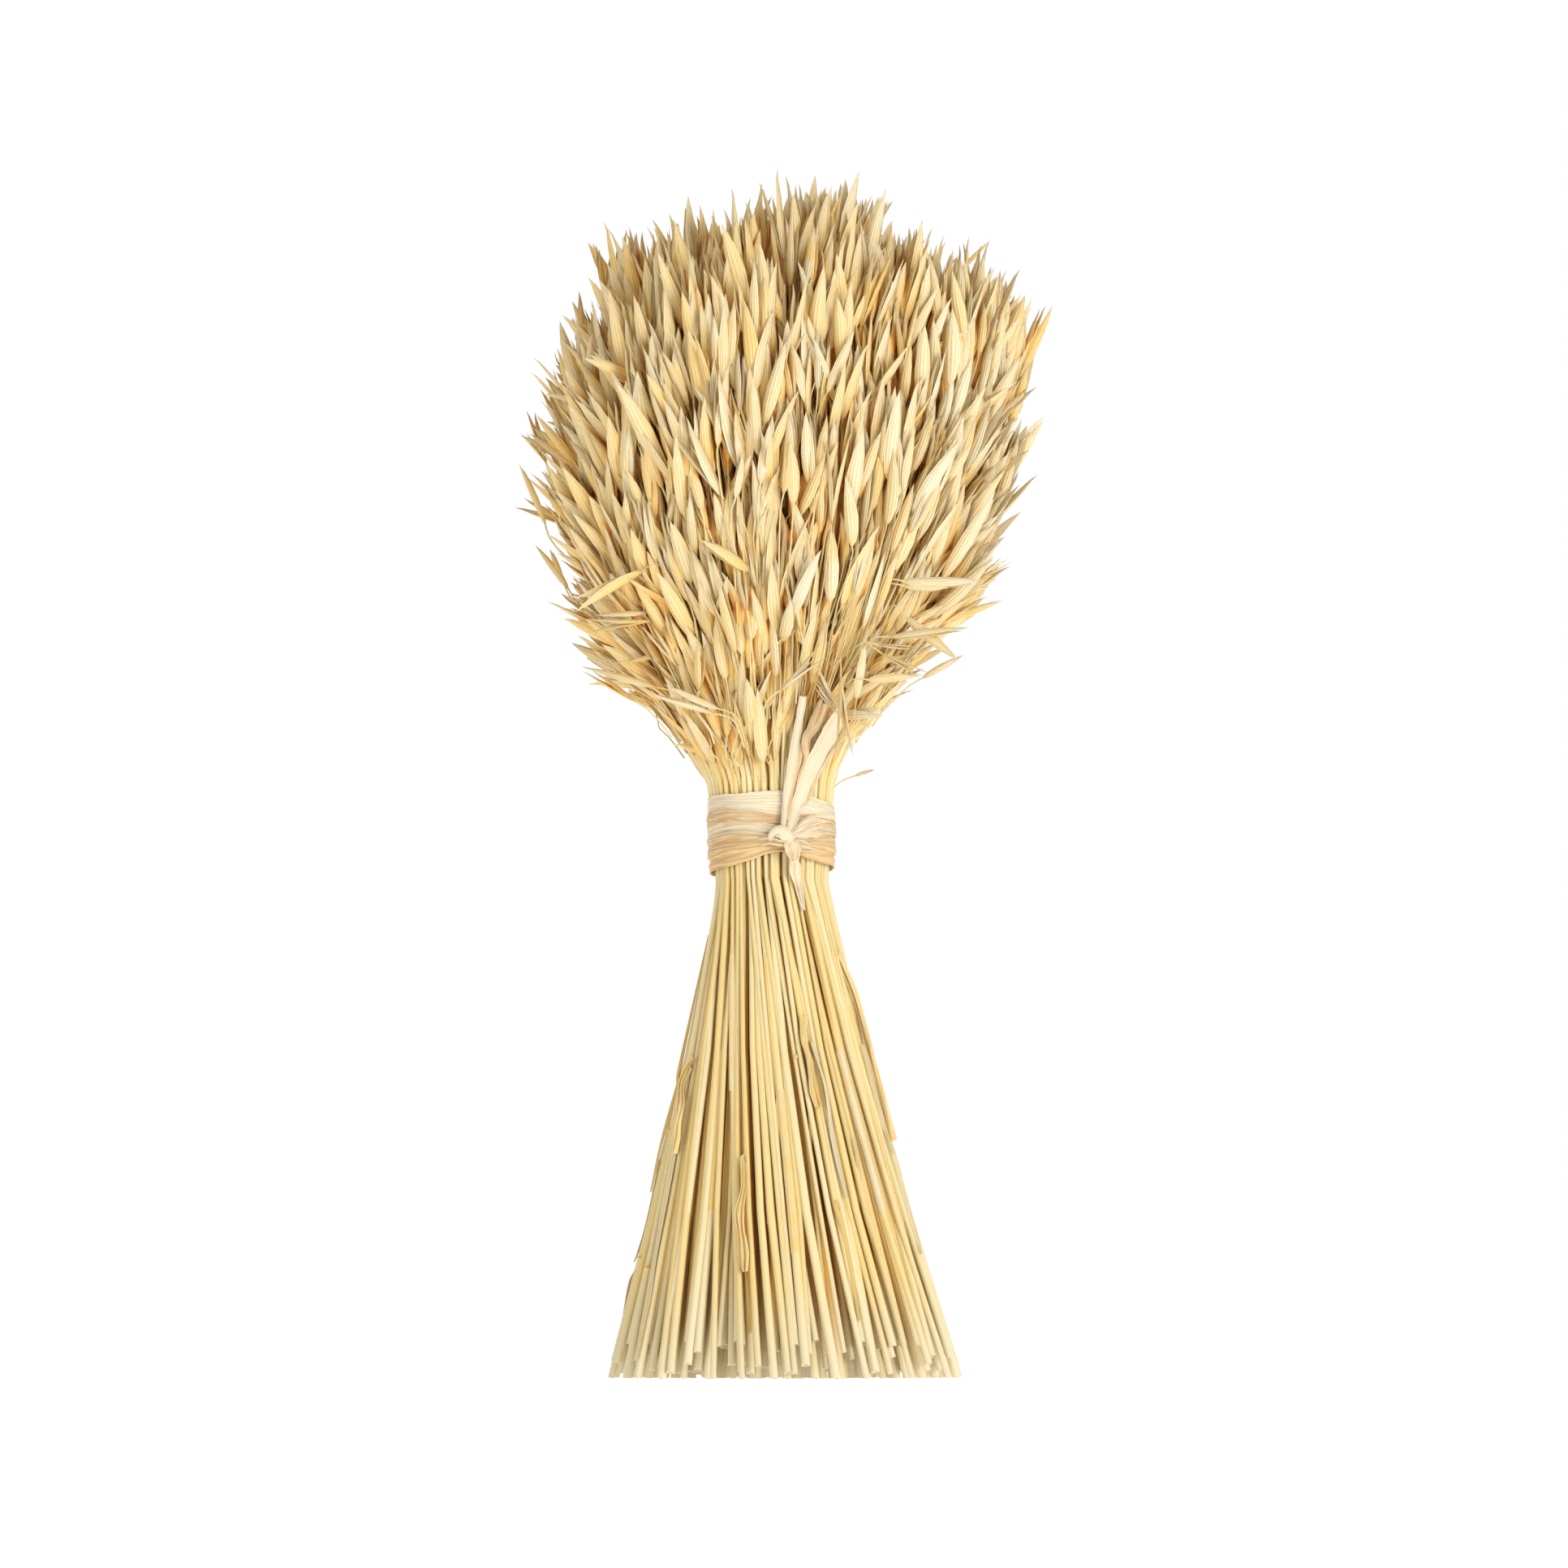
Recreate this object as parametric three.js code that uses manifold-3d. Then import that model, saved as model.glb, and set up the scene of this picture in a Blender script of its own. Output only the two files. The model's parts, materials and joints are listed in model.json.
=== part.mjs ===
// A standing sheaf of dried oats, tied at the waist with raffia.
// Millimetres, +Z up, with the knot of the tie towards -Y.
import * as THREE from 'three';
import { mergeVertices } from 'three/addons/utils/BufferGeometryUtils.js';
import Module from 'manifold-3d';

const wasm = await Module();
wasm.setup();

// Driving dimensions of the whole sheaf
const seed = 4127;
const clearance = 0.4;
const outerBunches = 18;
const innerBunches = 6;
const innerShare = 0.5;
const innerCoreShare = 0.47;

// Driving dimensions of the splayed stems below the tie
const footRadius = 67;
const footTurn = 24;
const stemTop = 185;
const stemTopRadius = 19;
const stemSunk = 7;
const stemFootThickness = 3.4;
const stemTopThickness = 2.4;
const highestCut = 11;
const raisedShare = 0.3;
const stemShareSpread = 0.015;
const stemLeanSpread = 0.06;

// The rows of stems in an outer and in an inner bunch, by their share of the sheaf's radius
const outerRows = [
  { share: 0.97, count: 2, shift: -0.22, sides: 4 },
  { share: 0.86, count: 2, shift: 0.2, sides: 4 },
  { share: 0.73, count: 2, shift: -0.18, sides: 3 },
  { share: 0.6, count: 1, shift: 0.1, sides: 3 },
];
const innerRows = [
  { share: 0.4, count: 3, shift: 0, sides: 3 },
  { share: 0.2, count: 2, shift: 0, sides: 3 },
];

// The radius of the packed stalks inside the tie and the head, at each height
const coreProfile = [
  { z: 185, value: 20.2 },
  { z: 206, value: 20.8 },
  { z: 224, value: 22.2 },
  { z: 240, value: 28 },
  { z: 258, value: 40 },
  { z: 284, value: 56 },
  { z: 325, value: 69 },
  { z: 372, value: 72 },
  { z: 402, value: 67 },
  { z: 419, value: 56 },
];
const crown = { z: 430, value: 52 };
const crownFoot = 415;

// How far the sheaf's axis stands to the side, at each height
const axisShifts = [
  { z: 0, value: 0 },
  { z: 60, value: 0 },
  { z: 185, value: -4.5 },
  { z: 224, value: -5 },
  { z: 258, value: -8 },
  { z: 325, value: -5 },
  { z: 372, value: -1.5 },
  { z: 402, value: 3 },
];

// Driving dimensions of the bare stalks that fan out above the tie
const fanRoot = { z: 218, radius: 17.5 };
const fanBend = { z: 240, radius: 34 };
const fanTop = { z: 270, radius: 45 };
const fanThickness = 2.4;
const fanStalks = 3;
const fanSides = 3;
const fanShareSpread = 0.04;

// Driving dimensions of the spikelets
const spikeletLength = 31;
const spikeletWidth = 7.6;
const spikeletDepth = 5.6;
const widestShare = 0.4;
const keelTurn = Math.PI;
const rootDepth = 4;
const spikeletSpacing = 13.6;
const crownSpacing = 9.8;
const lowestSpikelet = 240;
// How steeply the spikelets point up, in degrees, at each height
const elevations = [
  { z: 240, value: 28 },
  { z: 284, value: 35 },
  { z: 325, value: 47 },
  { z: 372, value: 60 },
  { z: 402, value: 68 },
  { z: 419, value: 72 },
  { z: 430, value: 84 },
];
const elevationSpread = 12;
const azimuthSpread = 16;
const spikeletTries = 16;
const spikeletApart = 3.6;
const placeSpread = { radius: 1.5, angle: 2 };
const rowStagger = 0.16;
const testPoints = 5;

// Driving dimensions of the sprays that reach out past the rest of the head, and where they stand
const sprayLength = 11.5;
const sprayThickness = 1.5;
const sprayDroop = 34;
const twigSunk = 6;
const droopSunk = 2;
const sprays = [
  { bunch: 1, z: 376, elevation: 46 },
  { bunch: 2, z: 300, elevation: 30 },
  { bunch: 4, z: 268, elevation: 30 },
  { bunch: 5, z: 350, elevation: 48 },
  { bunch: 7, z: 290, elevation: 36 },
  { bunch: 9, z: 322, elevation: 30 },
  { bunch: 10, z: 340, elevation: 34 },
  { bunch: 12, z: 258, elevation: 28 },
  { bunch: 14, z: 312, elevation: 50 },
  { bunch: 16, z: 336, elevation: 52 },
  { bunch: 17, z: 274, elevation: 24 },
  { bunch: 18, z: 384, elevation: 50 },
];

// Driving dimensions of the raffia tie
const strandThickness = 1.3;
const wrapSides = 18;
const wrapTilt = 2.5;
const knotSides = 10;
const knotRings = 7;
const knotColour = 0xc9a66c;
const wraps = [
  { name: 'raffia_wrap_1', bottom: 212.6, top: 220.8, radius: 24.7, colour: 0xe3d3b0 },
  { name: 'raffia_wrap_2', bottom: 207.4, top: 212.2, radius: 24.1, colour: 0xcfae79 },
  { name: 'raffia_wrap_3', bottom: 202.4, top: 207, radius: 23.9, colour: 0xe0cda4 },
  { name: 'raffia_wrap_4', bottom: 197.6, top: 202, radius: 23.6, colour: 0xc9a66c },
  { name: 'raffia_wrap_5', bottom: 190.6, top: 197.2, radius: 23.3, colour: 0xb98d55 },
];
const knot = { x: -1, z: 203.6, width: 11.5, depth: 4.6, height: 9.2 };
const tails = [
  {
    name: 'raffia_tail_narrow',
    width: 3.4,
    colour: 0xe3d3b0,
    route: [
      { x: -0.4, z: 209.6, reach: 25.9 },
      { x: 1.6, z: 222, reach: 26.3 },
      { x: 4.6, z: 240, reach: 39 },
      { x: 7.2, z: 257, reach: 49 },
    ],
  },
  {
    name: 'raffia_tail_wide',
    width: 5,
    colour: 0xe0cda4,
    route: [
      { x: 4.4, z: 209.6, reach: 25.9 },
      { x: 7.6, z: 221, reach: 26.3 },
      { x: 14.2, z: 236, reach: 38 },
      { x: 21, z: 250, reach: 47.5 },
    ],
  },
  {
    name: 'raffia_tail_short',
    width: 5.6,
    colour: 0xcfae79,
    route: [
      { x: 0.8, z: 197.6, reach: 24.2 },
      { x: 3, z: 189, reach: 24.4 },
      { x: 5, z: 180, reach: 25.8 },
    ],
  },
];
const tailThickness = 0.8;
const tailSteps = 7;
const tailTestSteps = 8;
const tailClearance = 6.5;

// The dry leaves that still cling to stems near the front, by bunch, height of the sheath and length
const leaves = [
  { bunch: 17, height: 88, length: 70, width: 6.4, lift: 5 },
  { bunch: 12, height: 38, length: 42, width: 5.6, lift: 4 },
  { bunch: 10, height: 82, length: 36, width: 5.2, lift: 8 },
  { bunch: 14, height: 98, length: 34, width: 5.2, lift: 4 },
  { bunch: 6, height: 60, length: 58, width: 6, lift: 5 },
  { bunch: 3, height: 84, length: 50, width: 5.6, lift: 6 },
];
const leafThickness = 0.9;
const leafRow = { share: 0.97, lean: 0.25 };
const leafRoot = 0.6;
const leafArch = 2.2;
const leafSteps = 5;

const mergeDistance = 1e-4;
const strawColour = 0xd2b47a;
const strawRoughness = 0.72;
const raffiaRoughness = 0.8;

const radians = THREE.MathUtils.degToRad;

// Park and Miller's generator, so that the same sheaf is made each time
function randomSource(start) {
  let state = start;
  return () => {
    state = (state * 16807) % 2147483647;
    return state / 2147483647;
  };
}

function spread(random, amount) {
  return (random() * 2 - 1) * amount;
}

// The height's share of the way between two levels, held to 0 and 1
function shareBetween(z, from, to) {
  return Math.min(1, Math.max(0, (z - from) / (to - from)));
}

// The value that a list of levels gives at this height
function valueAt(levels, z) {
  const last = levels.length - 1;
  for (let i = 0; i < last; i += 1) {
    if (z <= levels[i + 1].z) {
      const share = shareBetween(z, levels[i].z, levels[i + 1].z);
      return THREE.MathUtils.lerp(levels[i].value, levels[i + 1].value, share);
    }
  }
  return levels[last].value;
}

function axisShift(z) {
  return valueAt(axisShifts, z);
}

function polarPoint(radius, angle, z) {
  const x = radius * Math.cos(radians(angle)) + axisShift(z);
  return new THREE.Vector3(x, radius * Math.sin(radians(angle)), z);
}

// Solids

function solidOf(geometry) {
  const bare = new THREE.BufferGeometry();
  bare.setAttribute('position', geometry.getAttribute('position'));
  bare.setIndex(geometry.getIndex());
  const merged = mergeVertices(bare, mergeDistance);
  const corners = merged.getIndex().array;
  const kept = [];
  for (let i = 0; i < corners.length; i += 3) {
    const [a, b, c] = [corners[i], corners[i + 1], corners[i + 2]];
    if (a !== b && b !== c && c !== a) {
      kept.push(a, b, c);
    }
  }
  return new wasm.Manifold(new wasm.Mesh({
    numProp: 3,
    vertProperties: new Float32Array(merged.getAttribute('position').array),
    triVerts: new Uint32Array(kept),
  }));
}

function geometryOf(solid) {
  const mesh = solid.getMesh();
  const geometry = new THREE.BufferGeometry();
  geometry.setAttribute('position', new THREE.BufferAttribute(new Float32Array(mesh.vertProperties), 3));
  geometry.setIndex(new THREE.BufferAttribute(new Uint32Array(mesh.triVerts), 1));
  geometry.computeVertexNormals();
  return geometry;
}

// The solids as one body, with any hollow that they enclose filled
function joined(solids) {
  const bodies = solids.reduce((whole, solid) => whole.add(solid)).decompose();
  return bodies.reduce((largest, body) => (body.volume() > largest.volume() ? body : largest));
}

function mapped(geometry, move) {
  const positions = geometry.getAttribute('position');
  const point = new THREE.Vector3();
  for (let i = 0; i < positions.count; i += 1) {
    point.fromBufferAttribute(positions, i);
    const moved = move(point);
    positions.setXYZ(i, moved.x, moved.y, moved.z);
  }
  return geometry;
}

// A stalk through these points with level ends, bent only at the points
function stalk(points, lowThickness, highThickness, sides, turn) {
  const steps = points.length - 1;
  const geometry = new THREE.CylinderGeometry(0.5, 0.5, steps, sides, steps, false, turn);
  geometry.rotateX(Math.PI / 2);
  geometry.translate(0, 0, steps / 2);
  return solidOf(mapped(geometry, ({ x, y, z }) => {
    const thickness = THREE.MathUtils.lerp(lowThickness, highThickness, z / steps);
    const middle = points[Math.round(z)];
    return new THREE.Vector3(middle.x + x * thickness, middle.y + y * thickness, middle.z);
  }));
}

// A frame with Z along the direction and X level
function frameAlong(direction) {
  const up = Math.abs(direction.z) > 0.98 ? new THREE.Vector3(0, 1, 0) : new THREE.Vector3(0, 0, 1);
  const side = new THREE.Vector3().crossVectors(up, direction).normalize();
  const face = new THREE.Vector3().crossVectors(direction, side);
  return new THREE.Matrix4().makeBasis(side, face, direction);
}

// A three-sided pointed spikelet with its keel outwards
function spikelet(root, direction) {
  const outline = [
    new THREE.Vector2(0, 0),
    new THREE.Vector2(0.5, widestShare * spikeletLength),
    new THREE.Vector2(0, spikeletLength),
  ];
  const geometry = new THREE.LatheGeometry(outline, 3);
  geometry.rotateX(Math.PI / 2);
  geometry.rotateZ(keelTurn);
  geometry.scale(spikeletWidth / Math.cos(Math.PI / 6), spikeletDepth, 1);
  return solidOf(geometry.applyMatrix4(frameAlong(direction).setPosition(root)));
}

// A slim twig between two points
function twig(low, high) {
  const along = new THREE.Vector3().subVectors(high, low);
  const geometry = new THREE.CylinderGeometry(sprayThickness / 2, sprayThickness / 2, along.length(), 3);
  geometry.rotateX(Math.PI / 2);
  geometry.translate(0, 0, along.length() / 2);
  return solidOf(geometry.applyMatrix4(frameAlong(along.normalize()).setPosition(low)));
}

// A flat ribbon along a smooth route, with its face turned towards each point's own outward direction
function ribbon(points, width, thickness, steps) {
  const curve = new THREE.CatmullRomCurve3(points);
  const geometry = new THREE.BoxGeometry(width, thickness, 1, 1, 1, steps);
  geometry.translate(0, 0, 0.5);
  return mapped(geometry, (point) => {
    const middle = curve.getPoint(point.z);
    const along = curve.getTangent(point.z);
    const outward = new THREE.Vector3(middle.x - axisShift(middle.z), middle.y, 0).normalize();
    const side = new THREE.Vector3().crossVectors(outward, along).normalize();
    const face = new THREE.Vector3().crossVectors(along, side);
    return middle.addScaledVector(side, point.x).addScaledVector(face, point.y);
  });
}

// Bunches: each is a wedge of the sheaf with its own stems and its own part of the head

function outerBunch(index) {
  const width = 360 / outerBunches;
  return {
    name: `stalks_outer_${String(index + 1).padStart(2, '0')}`,
    seed: seed + index * 53,
    number: index + 1,
    from: index * width,
    to: (index + 1) * width,
    inner: innerShare,
    outer: 1,
    rows: outerRows,
    profile: coreProfile,
    outside: true,
  };
}

function innerBunch(index) {
  const width = 360 / innerBunches;
  return {
    name: `stalks_inner_${String(index + 1).padStart(2, '0')}`,
    seed: seed + 5009 + index * 53,
    number: index + 1,
    from: index * width,
    to: (index + 1) * width,
    inner: 0,
    outer: innerCoreShare,
    rows: innerRows,
    profile: [...coreProfile, crown],
    outside: false,
  };
}

function middleAngle(bunch) {
  return (bunch.from + bunch.to) / 2;
}

// The distance that a point stands inside the nearer of the bunch's two side planes
function insideWalls(bunch, point) {
  const x = point.x - axisShift(point.z);
  const [from, to] = [radians(bunch.from), radians(bunch.to)];
  const fromWall = point.y * Math.cos(from) - x * Math.sin(from);
  const toWall = x * Math.sin(to) - point.y * Math.cos(to);
  return Math.min(fromWall, toWall);
}

// A corner of the packed stalks, half the clearance inside the bunch's side planes
function coreCorner(bunch, share, angle, station) {
  const middle = middleAngle(bunch);
  const half = (bunch.to - bunch.from) / 2;
  const inset = clearance / 2;
  if (share === 0) {
    return polarPoint(inset / Math.sin(radians(half)), middle, station.z);
  }
  const point = polarPoint(share * station.value, angle, station.z);
  const lean = Math.sign(middle - angle);
  point.x -= lean * inset * Math.sin(radians(angle));
  point.y += lean * inset * Math.cos(radians(angle));
  return point;
}

function bunchCore(bunch) {
  const { profile, inner, outer, from, to } = bunch;
  const ridge = bunch.outside ? [] : [[outer, middleAngle(bunch)]];
  const corners = [[inner, from], [outer, from], ...ridge, [outer, to], [inner, to]];
  const outline = new THREE.Shape(corners.map(([share, angle]) => new THREE.Vector2(share, angle)));
  const steps = profile.length - 1;
  const geometry = new THREE.ExtrudeGeometry(outline, { depth: steps, steps, bevelEnabled: false });
  return solidOf(mapped(geometry, ({ x, y, z }) => coreCorner(bunch, x, y, profile[Math.round(z)])));
}

// A point on a stem's line, kept off the bunch's side planes
function stemPoint(bunch, share, lean, radius, turn, z, thickness) {
  const half = radians((bunch.to - bunch.from) / 2);
  const out = share * radius;
  const room = Math.max(0, out * Math.sin(half) - clearance / 2 - thickness / 2);
  const aside = THREE.MathUtils.clamp(out * Math.sin(half * lean), -room, room);
  const angle = radians(middleAngle(bunch) + turn);
  const x = out * Math.cos(angle) - aside * Math.sin(angle) + axisShift(z);
  return new THREE.Vector3(x, out * Math.sin(angle) + aside * Math.cos(angle), z);
}

function stem(bunch, row, lean, random) {
  const share = row.share + spread(random, stemShareSpread);
  const shifted = lean + spread(random, stemLeanSpread);
  const foot = stemPoint(bunch, share, shifted, footRadius, footTurn, 0, stemFootThickness);
  const top = stemPoint(bunch, share, shifted, stemTopRadius, 0, stemTop, stemTopThickness);
  const raised = random() < raisedShare ? random() * highestCut : 0;
  const low = new THREE.Vector3().lerpVectors(foot, top, raised / stemTop);
  const sunk = stemPoint(bunch, share, shifted, stemTopRadius, 0, stemTop + stemSunk, stemTopThickness);
  return stalk([low, top, sunk], stemFootThickness, stemTopThickness, row.sides, random() * Math.PI);
}

function stems(bunch, random) {
  return bunch.rows.flatMap((row) => Array.from({ length: row.count }, (_, i) => {
    const lean = ((i + 0.5) / row.count) * 2 - 1 + row.shift;
    return stem(bunch, row, lean, random);
  }));
}

// The bare stalks between the tie and the head
function fan(bunch, random) {
  return Array.from({ length: fanStalks }, (_, i) => {
    const lean = ((i + 0.5) / fanStalks) * 2 - 1;
    const share = outerRows[0].share + spread(random, fanShareSpread);
    const points = [fanRoot, fanBend, fanTop].map(({ z, radius }) => {
      return stemPoint(bunch, share, lean, radius, 0, z, fanThickness);
    });
    return stalk(points, fanThickness, fanThickness, fanSides, random() * Math.PI);
  });
}

// The line up the head's side and over its top, from the lowest spikelet to the middle of the crown
function headLine(bunch) {
  const side = bunch.profile.filter(({ z }) => z > lowestSpikelet);
  const start = { z: lowestSpikelet, value: valueAt(bunch.profile, lowestSpikelet) };
  const top = side[side.length - 1];
  const line = bunch.outside ? [start, ...side] : side.slice(-2);
  const points = line.map(({ z, value }) => new THREE.Vector2(value * bunch.outer, z));
  points.push(new THREE.Vector2(top.value * bunch.inner, top.z));
  return points;
}

function pointOnLine(line, distance) {
  let left = distance;
  for (let i = 0; i < line.length - 1; i += 1) {
    const length = line[i].distanceTo(line[i + 1]);
    if (left <= length || i === line.length - 2) {
      return new THREE.Vector2().lerpVectors(line[i], line[i + 1], Math.min(1, left / length));
    }
    left -= length;
  }
  return line[line.length - 1].clone();
}

function lineLength(line) {
  return line.slice(1).reduce((sum, point, i) => sum + point.distanceTo(line[i]), 0);
}

function directionOf(elevation, azimuth) {
  const level = Math.cos(radians(elevation));
  return new THREE.Vector3(
    level * Math.cos(radians(azimuth)),
    level * Math.sin(radians(azimuth)),
    Math.sin(radians(elevation)),
  );
}

function pointsAlong(root, direction, length) {
  return Array.from({ length: testPoints }, (_, i) => {
    return root.clone().addScaledVector(direction, (length * (i + 1)) / testPoints);
  });
}

function tailPoints() {
  return tails.flatMap(({ route }) => {
    const curve = new THREE.CatmullRomCurve3(route.map(tailPoint));
    return curve.getPoints(tailTestSteps);
  });
}

// A tail's point stands in front of the sheaf, at its reach from the sheaf's axis
function tailPoint({ x, z, reach }) {
  const aside = x - axisShift(z);
  return new THREE.Vector3(x, -Math.sqrt(reach * reach - aside * aside), z);
}

// Whether a spikelet or spray stays inside its bunch and clear of its neighbours
function fits(bunch, places, root, direction, length) {
  const half = spikeletWidth / 2;
  const points = pointsAlong(root, direction, length);
  const wide = points.slice(0, -1);
  const crownRadius = innerShare * valueAt(coreProfile, crown.z);
  const walls = wide.every((point) => insideWalls(bunch, point) > half + clearance / 2)
    && insideWalls(bunch, points[points.length - 1]) > clearance;
  const crowned = points.every((point) => {
    const radius = Math.hypot(point.x - axisShift(point.z), point.y);
    return bunch.outside ? radius > crownRadius + clearance + half || point.z < crownFoot
      : radius < crownRadius - clearance - half;
  });
  const clear = points.every((point) => keptClear.every((other) => point.distanceTo(other) > tailClearance));
  const apart = points.every((point) => places.every((other) => point.distanceTo(other) > spikeletApart));
  return walls && crowned && clear && apart;
}

// Draws a place near this one until it fits, and gives nothing where none does
function placed(bunch, places, random, { radius, z, angle, steepness, length }) {
  for (let i = 0; i < spikeletTries; i += 1) {
    const out = Math.max(1, radius + spread(random, placeSpread.radius));
    const surface = polarPoint(out, angle + spread(random, placeSpread.angle), z);
    const elevation = Math.min(90, steepness + spread(random, elevationSpread));
    const direction = directionOf(elevation, angle + spread(random, azimuthSpread));
    const root = surface.clone().addScaledVector(direction, -rootDepth);
    if (fits(bunch, places, root, direction, length)) {
      places.push(...pointsAlong(root, direction, length));
      return { root, direction };
    }
  }
  return null;
}

function spikelets(bunch, random, places) {
  const line = headLine(bunch);
  const spacing = bunch.outside ? spikeletSpacing : crownSpacing;
  const rows = Math.round(lineLength(line) / spacing);
  const made = [];
  for (let i = 0; i < rows; i += 1) {
    const { x: radius, y: z } = pointOnLine(line, ((i + 0.5) / rows) * lineLength(line));
    const arc = radius * radians(bunch.to - bunch.from);
    const count = Math.max(1, Math.round(arc / spacing));
    for (let j = 0; j < count; j += 1) {
      const share = (j + 0.5 + (i % 2 ? rowStagger : -rowStagger)) / count;
      const angle = THREE.MathUtils.lerp(bunch.from, bunch.to, share);
      const steepness = valueAt(elevations, z);
      const place = placed(bunch, places, random, { radius, z, angle, steepness, length: spikeletLength });
      if (place) {
        made.push(spikelet(place.root, place.direction));
      }
    }
  }
  return made;
}

// A twig that carries two spikelets past the rest, one straight on and one that droops
function spray(bunch, random, places, { z, elevation }) {
  const radius = valueAt(bunch.profile, z);
  const angle = middleAngle(bunch);
  const length = sprayLength + spikeletLength;
  const place = placed(bunch, places, random, { radius, z, angle, steepness: elevation, length });
  if (!place) {
    return [];
  }
  const end = place.root.clone().addScaledVector(place.direction, sprayLength);
  const drooping = place.direction.clone();
  drooping.z -= Math.sin(radians(sprayDroop));
  drooping.normalize();
  const twigTip = end.clone().addScaledVector(place.direction, twigSunk);
  const made = [twig(place.root, twigTip), spikelet(end, place.direction)];
  const droopRoot = end.clone().addScaledVector(drooping, -droopSunk);
  if (fits(bunch, [], droopRoot, drooping, spikeletLength)) {
    made.push(spikelet(droopRoot, drooping));
  }
  return made;
}

// A dry leaf that leaves its stem at the sheath and arches away from it
function leaf(bunch, { height, length, width, lift }) {
  const points = [0, 0.35, 0.7, 1].map((share) => {
    const z = height + length * share;
    const along = z / stemTop;
    const { share: out, lean } = leafRow;
    const foot = stemPoint(bunch, out, lean, footRadius, footTurn, 0, stemFootThickness);
    const top = stemPoint(bunch, out, lean, stemTopRadius, 0, stemTop, stemTopThickness);
    const middle = new THREE.Vector3().lerpVectors(foot, top, along);
    const outward = new THREE.Vector3(middle.x - axisShift(z), middle.y, 0).normalize();
    return middle.addScaledVector(outward, leafRoot + lift * Math.sin(share * leafArch));
  });
  return solidOf(ribbon(points, width, leafThickness, leafSteps));
}

function bunchSolid(bunch) {
  const random = randomSource(bunch.seed);
  const places = [];
  const solids = [bunchCore(bunch), ...stems(bunch, random)];
  if (bunch.outside) {
    solids.push(...fan(bunch, random));
    const own = ({ bunch: number }) => number === bunch.number;
    solids.push(...sprays.filter(own).flatMap((each) => spray(bunch, random, places, each)));
    solids.push(...leaves.filter(own).map((each) => leaf(bunch, each)));
  }
  solids.push(...spikelets(bunch, random, places));
  return joined(solids);
}

// The raffia tie

function wrapGeometry({ bottom, top, radius }) {
  const inner = radius - strandThickness;
  const height = top - bottom;
  const outline = [
    new THREE.Vector2(inner, 0),
    new THREE.Vector2(radius, 0),
    new THREE.Vector2(radius, height),
    new THREE.Vector2(inner, height),
    new THREE.Vector2(inner, 0),
  ];
  const geometry = new THREE.LatheGeometry(outline, wrapSides);
  geometry.rotateX(Math.PI / 2);
  geometry.translate(0, 0, -height / 2);
  geometry.rotateX(-radians(wrapTilt));
  geometry.translate(axisShift((bottom + top) / 2), 0, (bottom + top) / 2);
  return geometry;
}

function knotGeometry() {
  const geometry = new THREE.SphereGeometry(0.5, knotSides, knotRings);
  geometry.scale(knot.width, knot.depth, knot.height);
  const reach = wraps[1].radius + clearance + knot.depth / 2;
  geometry.translate(knot.x, -reach, knot.z);
  return geometry;
}

const sheaf = new THREE.Group();

function addMesh(name, geometry, colour, roughness) {
  const material = new THREE.MeshStandardMaterial({ color: colour, roughness, metalness: 0 });
  const mesh = new THREE.Mesh(geometry, material);
  mesh.name = name;
  sheaf.add(mesh);
}

const keptClear = tailPoints();
const bunches = [
  ...Array.from({ length: outerBunches }, (_, i) => outerBunch(i)),
  ...Array.from({ length: innerBunches }, (_, i) => innerBunch(i)),
];
for (const bunch of bunches) {
  addMesh(bunch.name, geometryOf(bunchSolid(bunch)), strawColour, strawRoughness);
}
for (const wrap of wraps) {
  addMesh(wrap.name, geometryOf(solidOf(wrapGeometry(wrap))), wrap.colour, raffiaRoughness);
}
addMesh('raffia_knot', geometryOf(solidOf(knotGeometry())), knotColour, raffiaRoughness);
for (const tail of tails) {
  const shape = ribbon(tail.route.map(tailPoint), tail.width, tailThickness, tailSteps);
  addMesh(tail.name, geometryOf(solidOf(shape)), tail.colour, raffiaRoughness);
}

// The origin lies on the ground below the middle of the sheaf's box
const box = new THREE.Box3().setFromObject(sheaf);
const middle = box.getCenter(new THREE.Vector3());
sheaf.position.set(-middle.x, -middle.y, -box.min.z);

export default sheaf;
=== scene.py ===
import json
import math

import bmesh
import bpy
from bpy.props import FloatProperty, FloatVectorProperty, IntProperty, PointerProperty
from bpy.types import Operator, Panel, PropertyGroup
from mathutils import Matrix, Vector, noise
from mathutils.bvhtree import BVHTree

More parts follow.
